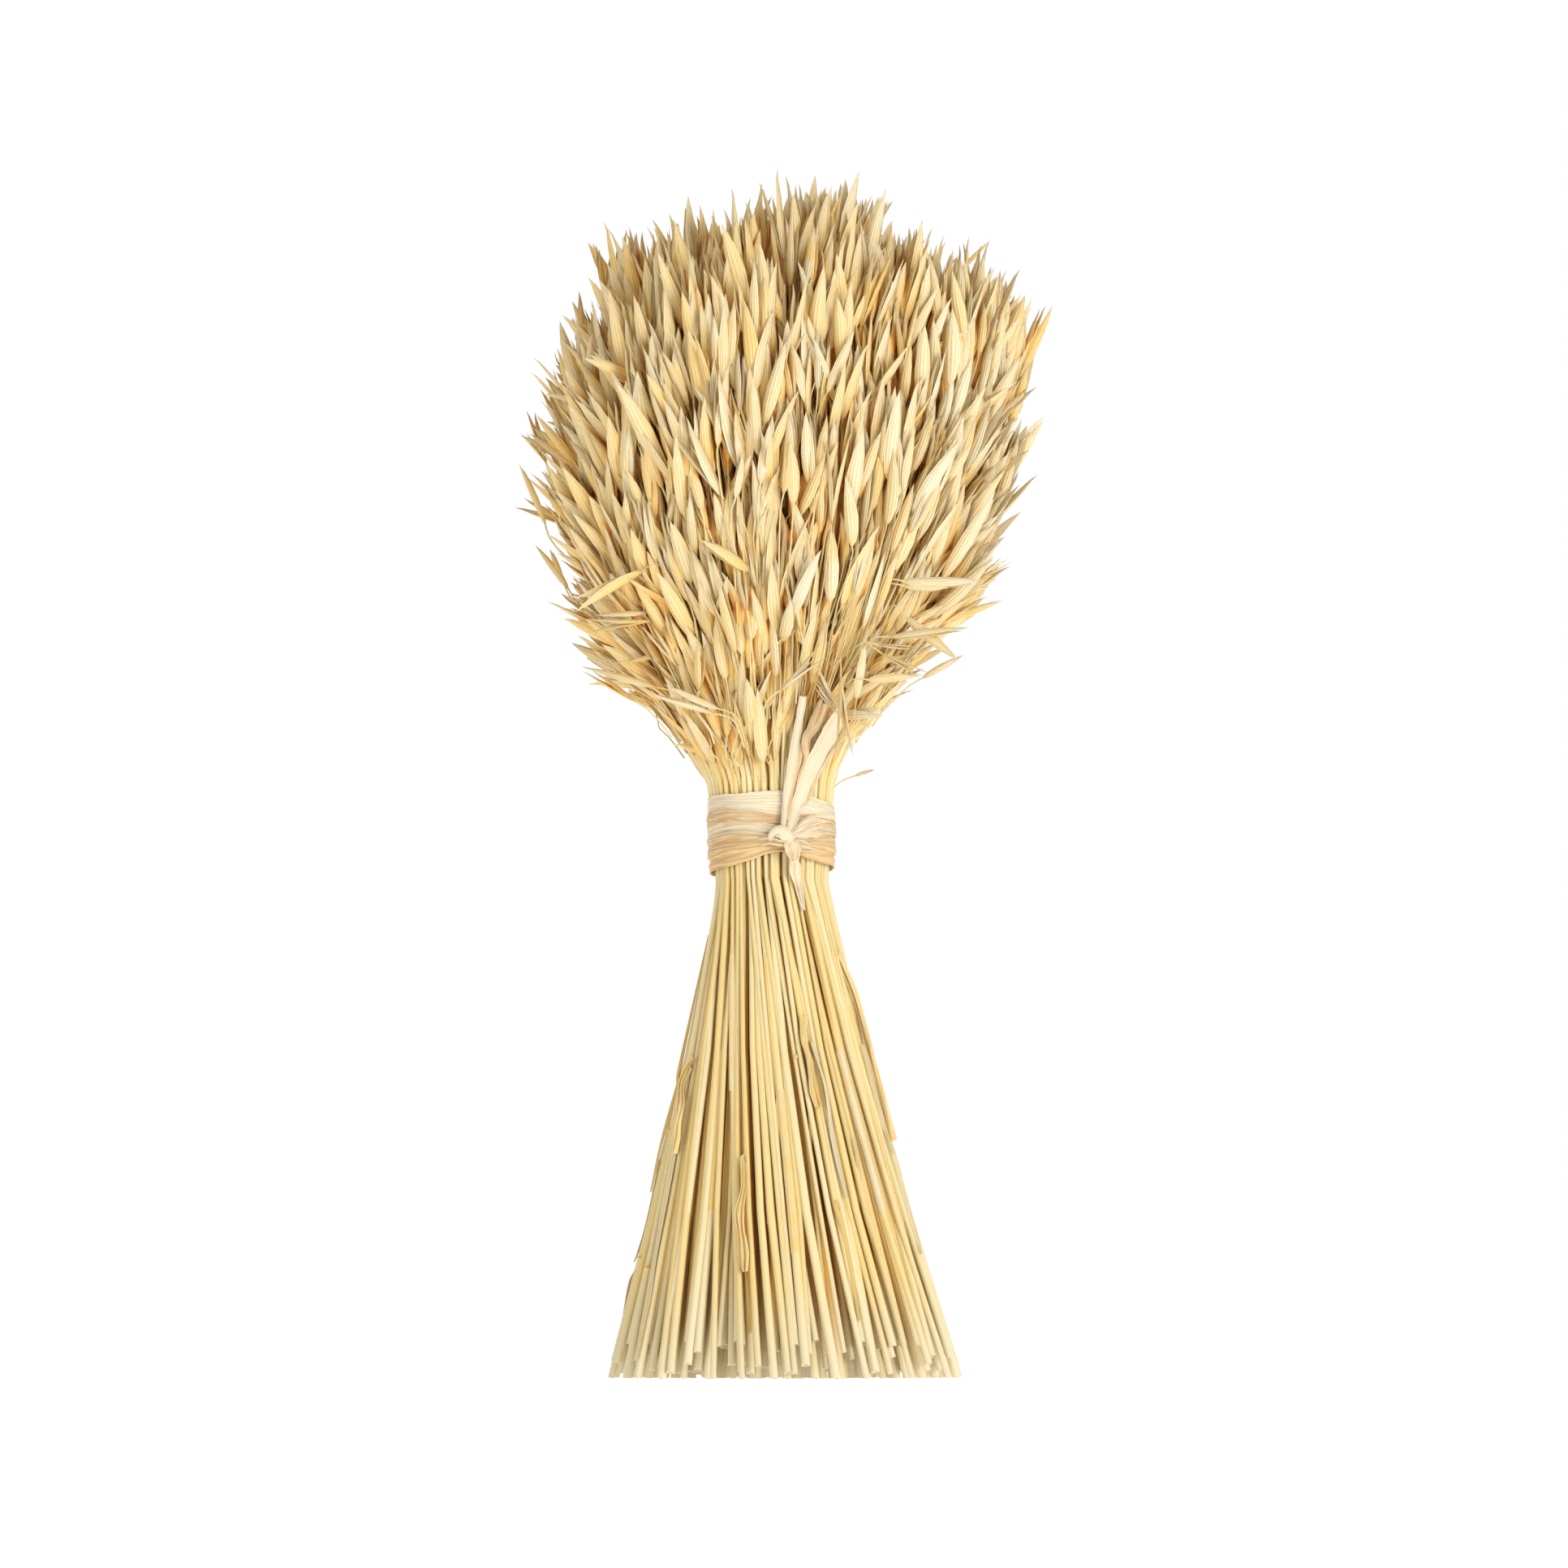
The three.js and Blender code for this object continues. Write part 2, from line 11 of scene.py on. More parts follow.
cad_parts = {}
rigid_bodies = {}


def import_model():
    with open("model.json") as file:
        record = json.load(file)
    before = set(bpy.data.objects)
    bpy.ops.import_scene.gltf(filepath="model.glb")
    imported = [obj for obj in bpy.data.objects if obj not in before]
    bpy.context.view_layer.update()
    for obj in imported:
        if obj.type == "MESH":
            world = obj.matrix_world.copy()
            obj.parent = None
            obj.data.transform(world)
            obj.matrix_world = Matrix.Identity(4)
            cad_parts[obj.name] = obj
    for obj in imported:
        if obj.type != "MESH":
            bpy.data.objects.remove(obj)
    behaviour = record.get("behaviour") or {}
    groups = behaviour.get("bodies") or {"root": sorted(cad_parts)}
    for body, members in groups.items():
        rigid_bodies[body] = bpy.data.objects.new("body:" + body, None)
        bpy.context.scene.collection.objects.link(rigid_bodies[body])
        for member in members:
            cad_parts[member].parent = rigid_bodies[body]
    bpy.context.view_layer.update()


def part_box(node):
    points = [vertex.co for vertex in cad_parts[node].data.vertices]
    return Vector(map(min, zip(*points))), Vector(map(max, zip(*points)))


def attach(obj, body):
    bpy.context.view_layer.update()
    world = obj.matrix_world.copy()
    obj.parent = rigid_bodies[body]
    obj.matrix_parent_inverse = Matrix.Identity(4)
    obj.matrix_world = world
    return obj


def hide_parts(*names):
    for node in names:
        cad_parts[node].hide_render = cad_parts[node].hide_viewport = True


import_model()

bl_info = {
    "name": "Dried oat sheaf",
    "version": (1, 0, 0),
    "blender": (4, 5, 0),
    "location": "3D View > Sidebar > Sheaf",
    "description": "Dresses a packed sheaf of dried oats with stalks, spikelets, dry leaves and raffia",
    "category": "Object",
}

# The sheaf is laid out in millimetres round its own axis, as in the part's source
MM = 0.001
SEED = 4127
SEED_STEP = 53
INNER_SEED = 5009
DETAIL_SEED = 7919
CLEARANCE = 0.4
OUTER_BUNCHES = 18
INNER_BUNCHES = 6
INNER_SHARE = 0.5
INNER_CORE_SHARE = 0.47
FOOT_RADIUS = 67
FOOT_TURN = 24
STEM_TOP = 185
STEM_TOP_RADIUS = 19
FOOT_THICKNESS = 3.4
TOP_THICKNESS = 2.4
HIGHEST_CUT = 11
RAISED_SHARE = 0.3
STEM_SHARE_SPREAD = 0.015
STEM_LEAN_SPREAD = 0.06
OUTER_ROWS = [(0.97, 2, -0.22), (0.86, 2, 0.2), (0.73, 2, -0.18), (0.6, 1, 0.1)]
INNER_ROWS = [(0.4, 3, 0), (0.2, 2, 0)]
HEAD_PROFILE = [
    (185, 20.2), (206, 20.8), (224, 22.2), (240, 28), (258, 40),
    (284, 56), (325, 69), (372, 72), (402, 67), (419, 56),
]
CROWN = (430, 52)
AXIS_SHIFTS = [(0, 0), (60, 0), (185, -4.5), (224, -5), (258, -8), (325, -5), (372, -1.5), (402, 3)]
LOWEST_SPIKELET = 232
SPRAY_LENGTH = 11.5
SPRAY_DROOP = 34
SPRAY_TAPER = (0.5, 0.48, 0.46, 0.42, 0.4, 0.36)
SPRAY_SPIKELET = 26
SPRAY_TURN = 0.35
SPRAY_LIFTS = (0.3, 0.9)
SPRAY_TONES = (0.3, 0.75)
SPRAYS = [
    (1, 376, 46), (2, 300, 30), (4, 268, 30), (5, 350, 48), (7, 290, 36), (9, 322, 30),
    (10, 340, 34), (12, 258, 28), (14, 312, 50), (16, 336, 52), (17, 274, 24), (18, 384, 50),
]
LEAVES = [
    (17, 88, 70, 6.4, 5), (12, 38, 42, 5.6, 4), (10, 82, 36, 5.2, 8),
    (14, 98, 34, 5.2, 4), (6, 60, 58, 6, 5), (3, 84, 50, 5.6, 6),
]
LEAF_ROW = (0.97, 0.25)

# Finer stems between those of the source: their share of the radius at the foot and at the tie
FINE_ROWS = [(0.95, 1.06, 3), (0.9, 0.98, 3), (0.82, 0.88, 3), (0.7, 0.76, 3), (0.6, 0.66, 2)]
WAIST_PROFILE = [(185, 19), (206, 20), (221, 21.2), (226, 22.4), (240, 28)]
FAN_PROFILE = [(212, 20.6), (224, 23), (232, 27.5), (240, 32.5), (258, 42), (276, 52), (300, 62), (330, 70)]
STEM_HEIGHTS = [60, 120, 185, 206, 224, 240, 262]
STEM_STEPS = len(STEM_HEIGHTS) + 1
STEM_BOW = 3.2
STEM_HOLLOW = 2.2
STEM_SCALES = (0.55, 1.12)
THIN_ENDS = [(262, 0.55), (300, 0.3)]
STEM_ENDS = (282, 330)
STEM_TONES = (0.3, 1.0)
FINE_CUTS = (0.1, 1.25)
FINE_SHARE_SPREAD = 0.04
FINE_LEAN_SPREAD = 0.16
FINE_TWIST = 0.9
JOINT_SHARE = 0.16
JOINT_HEIGHT = 1.3
JOINT_TONE = -0.1
SHEATH_STARTS = (0.05, 0.55)
SHEATH_LENGTHS = (0.2, 0.42)
SHEATH_LOOSENESS = 0.28
SHEATH_TONES = (0.2, 0.95)
# What is left of a leaf's blade, and how many sheaths end in one
BLADE_SHARE = 0.3
HANGING_BLADES = 0.4
BLADE_LENGTHS = (14, 34)
BLADE_WIDTHS = (2.2, 3.4, 2.6, 0.8)
BLADE_TONES = (0.3, 0.9)
# Thin strips of leaf that lie along the straws
LEAF_STRIPS = 3
LEAF_STRIP_WIDTHS = (1.0, 2.8)
LEAF_STRIP_SHAPE = (0.6, 1, 1.1, 0.8, 0.3)
LEAF_STRIP_STEPS = 18
# A dry leaf's width along its length, and how it lies
LEAF_SHAPE = (0.3, 0.7, 0.45, 0.65, 0.4, 0.5, 0.12)
LEAF_LIFT = 0.28
LEAF_TONE = 0.6
LEAF_STEPS = 24
# Bare stalks between the tie and the head
FAN_STALKS = 10
FAN_START = 212
FAN_ENDS = (256, 322)
FAN_SPREAD = 0.4
FAN_TURN = 5
FAN_SHARES = (0.84, 1.02)
FAN_RADII = (0.4, 1.0)
FAN_TAPER = (1, 1, 1, 0.95, 0.85, 0.7, 0.55, 0.4)
FAN_TONES = (0.6, 1.2)

# Spikelets: how steeply they point up at each height, and the layers that they stand in
ELEVATIONS = [(236, 60), (262, 65), (284, 69), (325, 74), (372, 78), (402, 80), (419, 82), (430, 86)]
ELEVATION_SPREAD = 10
LEAN_SPREAD = 0.16
# Neighbours in a tuft of this size lean, stand out and are coloured alike
TUFT_SIZE = 19
TUFT_ELEVATION = 16
TUFT_LEAN = 0.5
TUFT_DEPTH = 6
TUFT_TONE = 0.22
# Painted light: how much paler the head is on its right than on its left, as lit from the right
SIDE_LIGHT_TONE = 0.14
# Painted shade: how the tone falls towards the crown, as the light comes from low down
CROWN_SHADE_TONE = [(360, 0), (420, -0.14)]
# Painted shade: parts that neighbours close off from the open get a lower, browner tone, down to the ramps'
# darkest stop; ways towards the open as turn and elevation, and where they start and end
OPEN_WAYS = [(0, 0), (42, 15), (-42, 15), (0, 48)]
OPEN_START = 3
OPEN_REACH = 17
PAINTED_SHADE_TONE = 1.45
FULL_SHADE_TONE = -0.5
# The painted shade fades out towards the foot, so the cut ends stay pale up to this height
PALE_FOOT = [(4, 0.2), (36, 1)]
# Larger lumps of the head, and how far the crown sinks at each X from left to right
LUMP_SIZE = 40
LUMP_HEIGHT = 8
CROWN_SINKS = [
    (-75, 6), (-63, -4), (-56, -3), (-49, 16), (-41, 13), (-34, 17), (-27, 12), (-19, 15), (-12, 8), (-4, 5),
    (10, 1), (22, -4), (33, 1), (40, 16), (48, 11), (63, 11), (72, 2), (90, 0),
]
CROWN_SINK_HEIGHTS = (372, 425)
# Gaps that are dark in the photo: x, height and half of each side, clear of spikelets' middles
GAP_REACH = 14
GAPS = [(1.5, 394, 5, 13), (-4, 412, 6, 12), (-20, 330, 3, 8), (22, 318, 3, 9)]
HAIRS = 12
HAIR_HEIGHTS = (258, 410)
HAIR_LENGTHS = (12, 34)
HAIR_FINENESS = 0.8
HAIR_SHARES = (1.0, 1.12)
HAIR_TONES = (0.8, 1.3)
ROW_SPACING = 1.75
# How far tips may reach from the axis, at the front, beside it and at the back
TIP_REACH = (85, 98, 97)
# How far the head stands out at each height, on its left and on its right
LEFT_PUSH = [(232, 0), (250, 2), (262, 5), (275, 1), (290, -2), (310, 0), (372, 0), (400, -6), (412, -2)]
RIGHT_PUSH = [(232, -4), (262, 0), (290, 6), (325, 7), (350, 4), (372, 6), (386, 11), (398, 9), (412, -4)]
# How much less steep spikelets are at the sides
SIDE_DROP = [(232, 8), (245, 16), (262, 34), (285, 28), (325, 15), (372, 9), (400, 5), (430, 0)]
ODD_SHARE = 0.05
ODD_SPREAD = 38
# A layer's share of the head's radius and of the spacing, and whether its husks are modelled
LAYERS = [(1.1, 0.8, True), (1.02, 0.82, True), (0.92, 0.9, False), (0.8, 1.1, False)]
LAYER_DROP = 30
# How a spikelet's root, size and tone wander
ROOT_WANDER = 2
ROOT_DEPTHS = (3, 9)
TURN_SPREAD = 0.45
ROLL_SPREAD = 1.5
SPIKELET_SCALES = (0.76, 1.12)
WIDTH_SCALES = (0.86, 1.08)
LENGTH_SCALES = (0.88, 1.12)
HEAD_TONE = 0.66
TONE_SPREAD = 0.17
TINT_SHIFT = (7, 3, 5)
STEEPEST = 88
SPARSE_LEVELS = [(236, 0.2), (262, 0.14), (290, 0.06), (310, 0.02)]
HUSK_OUTLINE = [
    (0, 0), (0.02, 0.11), (0.09, 0.3), (0.25, 0.46), (0.46, 0.49), (0.7, 0.36), (0.88, 0.17), (1, 0),
]
HUSK_SIDES = 6
HUSK_THICKNESS = 0.9
HUSK_CURL = 0.14
HUSK_BOAT = 1.1
PLAIN_OUTLINE = [(0, 0), (0.1, 0.34), (0.38, 0.5), (0.7, 0.38), (1, 0)]
PLAIN_SIDES = 5

# How far a spikelet's own stalk goes towards the tie at each height, and how thick it is along the way
PEDICEL_REACH = [(240, 0.3), (262, 0.5), (290, 0.6), (330, 0.36), (420, 0.26)]
PEDICEL_TAPER = (1.35, 1, 1, 1.1, 1.2, 1.3)

# The spikelets that stand out in the photo: x, height, reach, lean from upright, length, tone
STRAYS = [
    (-54.6, 307, 74, -117, 29, 0.45), (-51.5, 291, 64, -97, 20, 0.7), (-50.2, 287.5, 63, -95, 22, 0.75),
    (-59.2, 271.5, 60, 79, 19, 0.5), (-25, 253, 46, -69, 23, 0.8), (-26, 251, 46, -73, 26, 0.85),
    (-48.4, 261.3, 56, -75, 28, 0.75), (-57, 256, 56, -57, 24, 0.35), (45.6, 303, 74, 94, 24, 0.95),
    (46.2, 301, 74, 97, 24, 0.95), (46.8, 289, 70, 133, 25, 0.85), (40, 281, 68, 84, 31, 0.75),
    (36, 278, 66, 96, 20, 0.8), (37, 275, 66, 119, 18, 0.65), (31.6, 264.4, 60, 87, 22, 0.8),
    (27.6, 256.7, 56, 10, 26, 0.9), (21.7, 266, 60, 177, 24, 0.55), (19.8, 252, 54, -38, 17, 0.85),
    (20.4, 254, 54, -32, 18, 0.85), (-1.9, 260, 56, 48, 23, 0.8), (62, 288, 0, 72, 22, 0.5),
    (68, 299, 0, 55, 22, 0.45), (53, 265, 0, 60, 17, 0.9), (27, 227, 0, 66, 11, 0.6),
    (20.5, 448, 0, 36, 11, 0.1), (30, 437, 0, 24, 19, 0.6), (30.5, 436.5, 0, 30, 18, 0.55),
    (9.6, 428, 10, 14, 28, 0.85), (-6.5, 424.7, 14, 51, 22, 0.3), (23.3, 421.5, 20, 12, 24, 0.85),
    (70, 428, 0, 41, 14, 0.3), (39.4, 439, 0, 123, 12, 0.4), (92, 390, 0, 6, 25, 0.35),
    (92.7, 391, 0, 20, 24, 0.3), (93, 388, 0, 27, 24, 0.25), (-70, 417, 0, -10, 20, 0.25),
    (-77.5, 397, 0, -7, 21, 0.15), (-92, 350, 0, -18, 23, 0.3), (-93, 351, 0, -36, 16, 0.2),
    (-92, 325, 0, -21, 22, 0.35), (-85, 303, 0, -24, 16, 0.3), (-83, 300, 0, -34, 18, 0.35),
    (88, 384, 0, 2, 27, 0.45), (84, 380, 86, 8, 28, 0.5), (80, 376, 84, 4, 28, 0.55),
    (86, 372, 88, 14, 27, 0.45), (76, 384, 80, -4, 26, 0.5), (90, 378, 0, 20, 26, 0.4),
    (82, 390, 84, 12, 24, 0.6), (79, 362, 84, 10, 28, 0.5), (87, 362, 90, 16, 28, 0.4),
    (-76, 396, 0, -14, 24, 0.4), (-70, 404, 0, 6, 26, 0.4), (-73, 388, 0, -10, 26, 0.5),
]
# The photo's clearest spikelets near the crown, with the same values
CROWN_SPIKELETS = [
    (9.3, 423.4, 52, 14, 28, 0.95), (-6.8, 424.7, 52, 56, 19, 0.15), (22.3, 422.8, 56, 11, 21, 0.75),
    (24.2, 403.6, 70, 20, 27, 1.0), (18, 394.3, 74, 8, 25, 0.95), (9.9, 416.6, 62, 26, 25, 0.7),
    (45.3, 398, 72, 25, 27, 0.6), (58.9, 397.4, 76, 3, 26, 0.8), (37.8, 408, 70, 38, 19, 0.35),
    (13, 378.2, 79, 4, 27, 0.95), (16.7, 377.6, 80, 25, 24, 0.8), (2.5, 393, 66, 17, 22, 0.2),
    (35.3, 377, 80, 35, 23, 0.6), (47, 414, 62, 11, 26, 0.5), (-53.5, 403, 72, -11, 24, 0.45),
    (-42, 403.8, 72, 5, 28, 0.75), (-44.6, 393, 76, -2, 30, 0.6), (-36.6, 419, 60, 16, 25, 0.6),
    (-28.2, 415, 60, 13, 21, 0.5), (-18.7, 413, 62, -3, 23, 0.6), (-25.2, 380, 79, 6, 31, 1.0),
    (-60.4, 379.4, 80, -35, 24, 0.85), (-36.6, 398, 70, 13, 22, 0.35), (-14.8, 414.8, 58, 4, 26, 0.1),
    (-46, 366, 81, -13, 25, 0.9), (-5.3, 406, 66, -5, 20, 0.1),
]
STRAY_SLIM = 0.76
CROWN_SLIM = 0.95
STRAY_FORWARD = -0.12
STRAY_TAPER = (0.4, 0.34, 0.32, 0.32, 0.34, 0.36)
# The stalk that is bent over at the very top, as x, y and height
BENT_STALK = [(-6, -6, 424), (-4, -6, 440), (4, -7, 446.5), (16, -8, 448), (28, -7, 446), (36, -6, 441)]
BENT_TAPER = (0.9, 0.85, 0.8, 0.75, 0.7, 0.6, 0.5, 0.35)
TWIG_HUSKS = [(2, 446, 82, 15, 0.2), (14, 447, 96, 13, 0.45), (24, 447, 112, 14, 0.5)]

# The imported heart of the head: a dark core whose colour is painted shade
HEART_HEIGHTS = (186, 398)
HEART_SIDES = 40
HEART_RIDGE = 0.07
# Its share of the head's radius, below its neck and above
HEART_NECK = 226
HEART_SHARES = (0.93, 0.62)
HEART_TONE = 0.2

# The raffia tie
KNOT_ANGLE = 279
KNOT_PINCH = 27
BAND_STEPS = 132
BAND_ACROSS = 12
STRAND_THICKNESS = 0.5
STRAND_FOLDS = 2.2
GRAIN_REPEATS = 6
# A strand's radius, the heights of its middle and its widths at the right, back, left and front,
# the depth of its pleats and its tone
BANDS = {
    "raffia_wrap_1": ("raffia_pale", [
        (24.2, (211.4, 214, 214.6, 212), (7, 8, 7.2, 11.4), 0.25, 0.9),
    ]),
    "raffia_wrap_2": ("raffia_tan", [
        (24.5, (207.4, 209, 209.2, 206.6), (4, 4.8, 6, 3.4), 0.4, 0.25),
    ]),
    "raffia_wrap_3": ("raffia_pale", [
        (24.4, (208.6, 205, 204, 203), (6.4, 4.6, 4.6, 3.2), 0.35, 0.85),
    ]),
    "raffia_wrap_4": ("raffia_tan", [
        (24.1, (202.8, 200.4, 199.8, 199.4), (5.6, 5.2, 6, 3), 0.45, 0.3),
        (24.6, (204.4, 201.4, 201.6, 200.4), (2.2, 2, 2.2, 1.4), 0.3, 0.65),
    ]),
    "raffia_wrap_5": ("raffia_brown", [
        (23.9, (195.6, 194, 193, 196.4), (7.6, 6.6, 7.2, 3.4), 0.5, 0.5),
        (24.4, (198.4, 196.2, 196.6, 197.8), (3, 2.2, 2.6, 1.6), 0.35, 0.8),
    ]),
}
STRIP_THICKNESS = 0.45
TAIL_STEPS = 26
KNOT_STEPS = 18
TAIL_CLEARANCE = 4.2
STRIP_WAVER = (0.16, 3.5)
# A strip's route is x, height and reach from the sheaf's axis, with its widths from end to end
TAILS = {
    "raffia_tail_narrow": ("raffia_pale", 0.95, 1, [2.2, 2.8, 3.3, 3.5, 3.4, 2.6], [
        (0.2, 202.6, 28.4), (0.8, 208, 27), (1.6, 216, 26.8), (4, 232, 33.5), (7.2, 250.5, 45),
    ]),
    "raffia_tail_wide": ("raffia_pale", 0.8, 1, [2.2, 3.2, 4.2, 5.2, 6.4, 6.6, 3], [
        (2, 201, 28.6), (3.4, 206, 27.6), (5.2, 212.4, 26.8), (10.4, 225.6, 32.4), (17.4, 238.6, 42),
        (21.8, 247, 47),
    ]),
    "raffia_tail_short": ("raffia_tan", 0.9, 2, [3, 4.8, 4.4, 3.4, 2.6, 1], [
        (3.9, 191.4, 26.6), (4.3, 188, 24.8), (5, 184, 23), (6, 178.6, 23.2), (7.2, 172.6, 24.8),
    ]),
}
LOOSE_STRIPS = [
    (0.35, 1, [2, 3, 3.4, 3.6, 1.6], [
        (4.4, 212, 25.8), (6.4, 221, 29), (9, 229, 33), (8.6, 236, 37.4), (13.2, 242, 40.6),
        (15.4, 248.4, 44.5),
    ]),
    (0.2, 2, [1.6, 2.6, 3.2, 3, 1.4], [
        (4.8, 211, 25.6), (8.9, 219, 27.8), (10.6, 228.4, 33), (15.6, 236, 37.8), (17.4, 245.6, 43),
    ]),
    (0.5, 1, [1.4, 2.4, 2.6, 2, 0.8], [
        (8, 213, 25.2), (13, 224, 30), (18, 232, 36), (22.8, 238, 41),
    ]),
    (0.25, 1, [1.4, 2.4, 3, 3.2, 2.8, 1.2], [
        (1.6, 206, 27), (2.8, 214, 26.4), (4.8, 223, 28.6), (7.6, 233, 34), (11, 242, 40),
        (13.8, 249.5, 45),
    ]),
]
# The knot: the loop over it, the strand under it, the flared end below and the fan on the right
KNOT_STRIPS = [
    (1.0, 1, [2.2, 3.8, 4.8, 4.6, 3.4, 2], [
        (-4.2, 198.4, 25.2), (-3.8, 200.4, 27.6), (-1.6, 201.6, 29.2), (1.0, 200, 29.4),
        (2.8, 197.8, 28.2), (3.4, 196, 26),
    ]),
    (0.5, 2, [1.2, 4.2, 3.6, 3.2, 3.6, 4.4, 1.4], [
        (-11.4, 198.6, 22.6), (-6, 199.2, 25.4), (-1.6, 198, 27.6), (2.4, 197.2, 27.8), (6.4, 197, 26.2),
        (11.6, 196.4, 22.6),
    ]),
    (0.55, 2, [3, 6.2, 6.6, 4, 3], [
        (2.2, 199, 28.2), (3, 196.6, 28.8), (3.6, 193.6, 27.8), (4.1, 190, 25.8),
    ]),
    (0.95, 3, [1.6, 3.4, 5.6, 6, 3], [
        (1.8, 200, 28), (5.4, 202.4, 26.8), (10, 205.4, 25.4), (15.6, 208, 23),
    ]),
    (0.7, 1, [1.4, 2.4, 3.4, 3.8, 2], [
        (1.8, 199.6, 28.2), (6, 200.4, 26.6), (11, 202.2, 25.2), (17, 203.6, 22.6),
    ]),
]

# What the names of the pieces made of stalks start with
STALK_NAMES = ("oats_stalks", "oats_strays", "oats_packed")
# Material places on a stalk piece; SHADE is painted shade, for the heart and the hollows of cut straws
HUSK, STRAW, LEAF, PITH, SHADE = range(5)
STALK_MATERIALS = ("oat_husk", "oat_straw", "dry_leaf", "cut_straw", "painted_shade_straw")
RELIEF_STRENGTH = 0.6
MOTTLE_SCALE = 160.0
SHARP_ANGLE = 58

# The camera and the studio
PHOTO_PIXEL = 0.31
PHOTO_WIDTH = 1932
LENS = 85
SENSOR = 36
AIM_HEIGHT = 224
FLOOR_SIZE = 3.0
FLOOR_ROUGHNESS = 0.9
FLOOR_GLOW = 0.75
WORLD_COLOUR = (1, 0.94, 0.83, 1)
WORLD_STRENGTH = 0.52
WHITE = (1, 1, 1, 1)
# A lamp's place, size and power: a low key from the front right, a weak fill and a lamp behind
LAMP_COLOUR = (1, 0.975, 0.93)
LAMPS = {
    "key_light": ((0.95, -1.4, 0.38), 0.74, 14.6),
    "fill_light": ((-0.9, -1.4, 0.4), 0.78, 2.4),
    "back_light": ((-0.4, 1.3, 1.05), 0.85, 8),
}
CAMERA_ELEVATION = -8.8


def length_property(name, description, value):
    return FloatProperty(name=name, description=description, default=value, unit="LENGTH")


class SheafSizes(PropertyGroup):
    """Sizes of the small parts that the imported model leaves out"""

    stem_foot: length_property(
        "Stem at the foot", "Thickness of a straw at its cut end", FOOT_THICKNESS * MM)
    stem_tie: length_property(
        "Stem at the tie", "Thickness of a straw under the raffia", TOP_THICKNESS * MM)
    spikelet_length: length_property(
        "Spikelet length", "From the stalk to the tips of the husks", 0.029)
    spikelet_width: length_property("Spikelet width", "Across the widest part of a husk", 0.0057)
    spikelet_spacing: length_property(
        "Spikelet spacing", "Between neighbours on the outside of the head", 0.0074)
    husk_opening: length_property(
        "Husk opening", "How far the tips of an open spikelet part", 0.0042)
    pedicel: length_property(
        "Stalklet thickness", "Thickness of the hair-thin stalk of a spikelet", 0.00062)
    sheaths: IntProperty(
        name="Leaf sheaths", description="Dry sheaths on each bunch of stems", default=3, min=0)


def colour_property(name, description, value):
    return FloatVectorProperty(
        name=name, description=description, default=value, size=3, min=0, max=1, subtype="COLOR")


class SheafColours(PropertyGroup):
    """Colours of the sheaf, in linear light"""

    # Painted shade: the deep husk colour, and the brown one in part, is what the painted shade lowers buried
    # husks to
    husk_painted_shade: colour_property("Deep husk", "Husks deep inside the head", (0.80, 0.37, 0.07))
    husk_brown: colour_property("Brown husk", "The darkest husks outside", (0.83, 0.54, 0.17))
    husk_gold: colour_property("Golden husk", "Most husks", (0.79, 0.59, 0.23))
    husk_cream: colour_property("Cream husk", "Lighter husks", (0.74, 0.62, 0.36))
    husk_pale: colour_property("Pale husk", "The palest husks and their tips", (0.75, 0.69, 0.52))
    # The joints' own colour, which the painted shade also gives to straws deep in the sheaf
    straw_joint_and_shade: colour_property("Straw joint", "Joints and shaded straws", (0.80, 0.40, 0.08))
    straw_gold: colour_property("Golden straw", "Darker straws", (0.82, 0.58, 0.20))
    straw_mid: colour_property("Straw", "Most straws", (0.81, 0.65, 0.30))
    straw_pale: colour_property("Pale straw", "Lighter straws", (0.83, 0.73, 0.46))
    raffia_cream: colour_property("Cream raffia", "The palest fibres of the raffia", (0.76, 0.69, 0.53))
    raffia_peach: colour_property("Peach raffia", "The lighter fibres of the tan strands", (0.76, 0.58, 0.33))
    raffia_tan: colour_property("Tan raffia", "The darker fibres of the tan strands", (0.62, 0.40, 0.17))
    raffia_dull: colour_property("Dull raffia", "The darker fibres of the cream strands", (0.66, 0.53, 0.33))
    floor: colour_property("Floor", "The plain floor", (0.93, 0.93, 0.93))


# Numbers and draws

def random_source(start):
    """A small repeatable source of numbers from 0 to 1, as in the part's source"""
    state = start

    def draw():
        nonlocal state
        state = state * 16807 % 2147483647
        return state / 2147483647

    return draw


def spread(draw, amount):
    return (draw() * 2 - 1) * amount


def between(draw, low, high):
    return low + (high - low) * draw()


def value_at(levels, place):
    """The value that a list of (place, value) levels gives here"""
    for (low, start), (high, end) in zip(levels, levels[1:]):
        if place <= high:
            share = min(1, max(0, (place - low) / (high - low)))
            return start + (end - start) * share
    return levels[-1][1]


def axis_shift(z):
    return value_at(AXIS_SHIFTS, z)


def sheaf_point(radius, degrees, z):
    angle = math.radians(degrees)
    return Vector((radius * math.cos(angle) + axis_shift(z), radius * math.sin(angle), z))


def front_point(x, z, reach):
    """A point before the sheaf at this reach from its axis, or beside it where the reach is short"""
    aside = x - axis_shift(z)
    return Vector((x, -math.sqrt(max(0, reach * reach - aside * aside)), z))


def seen_at(x, z, reach):
    """The point at this reach that the photo shows at this place, since near things look larger"""
    distance = PHOTO_PIXEL * PHOTO_WIDTH * LENS / SENSOR
    tilt = math.radians(CAMERA_ELEVATION)
    eye = AIM_HEIGHT + distance * math.sin(tilt)
    point = front_point(x, z, reach)
    shrink = 1 + point.y / (distance * math.cos(tilt))
    return Vector((x * shrink, point.y, eye + (z - eye) * shrink))


def outward_at(point):
    """The level direction away from the sheaf's axis"""
    outward = Vector((point.x - axis_shift(point.z), point.y, 0))
    return outward.normalized() if outward.length > 0.5 else Vector((0, -1, 0))


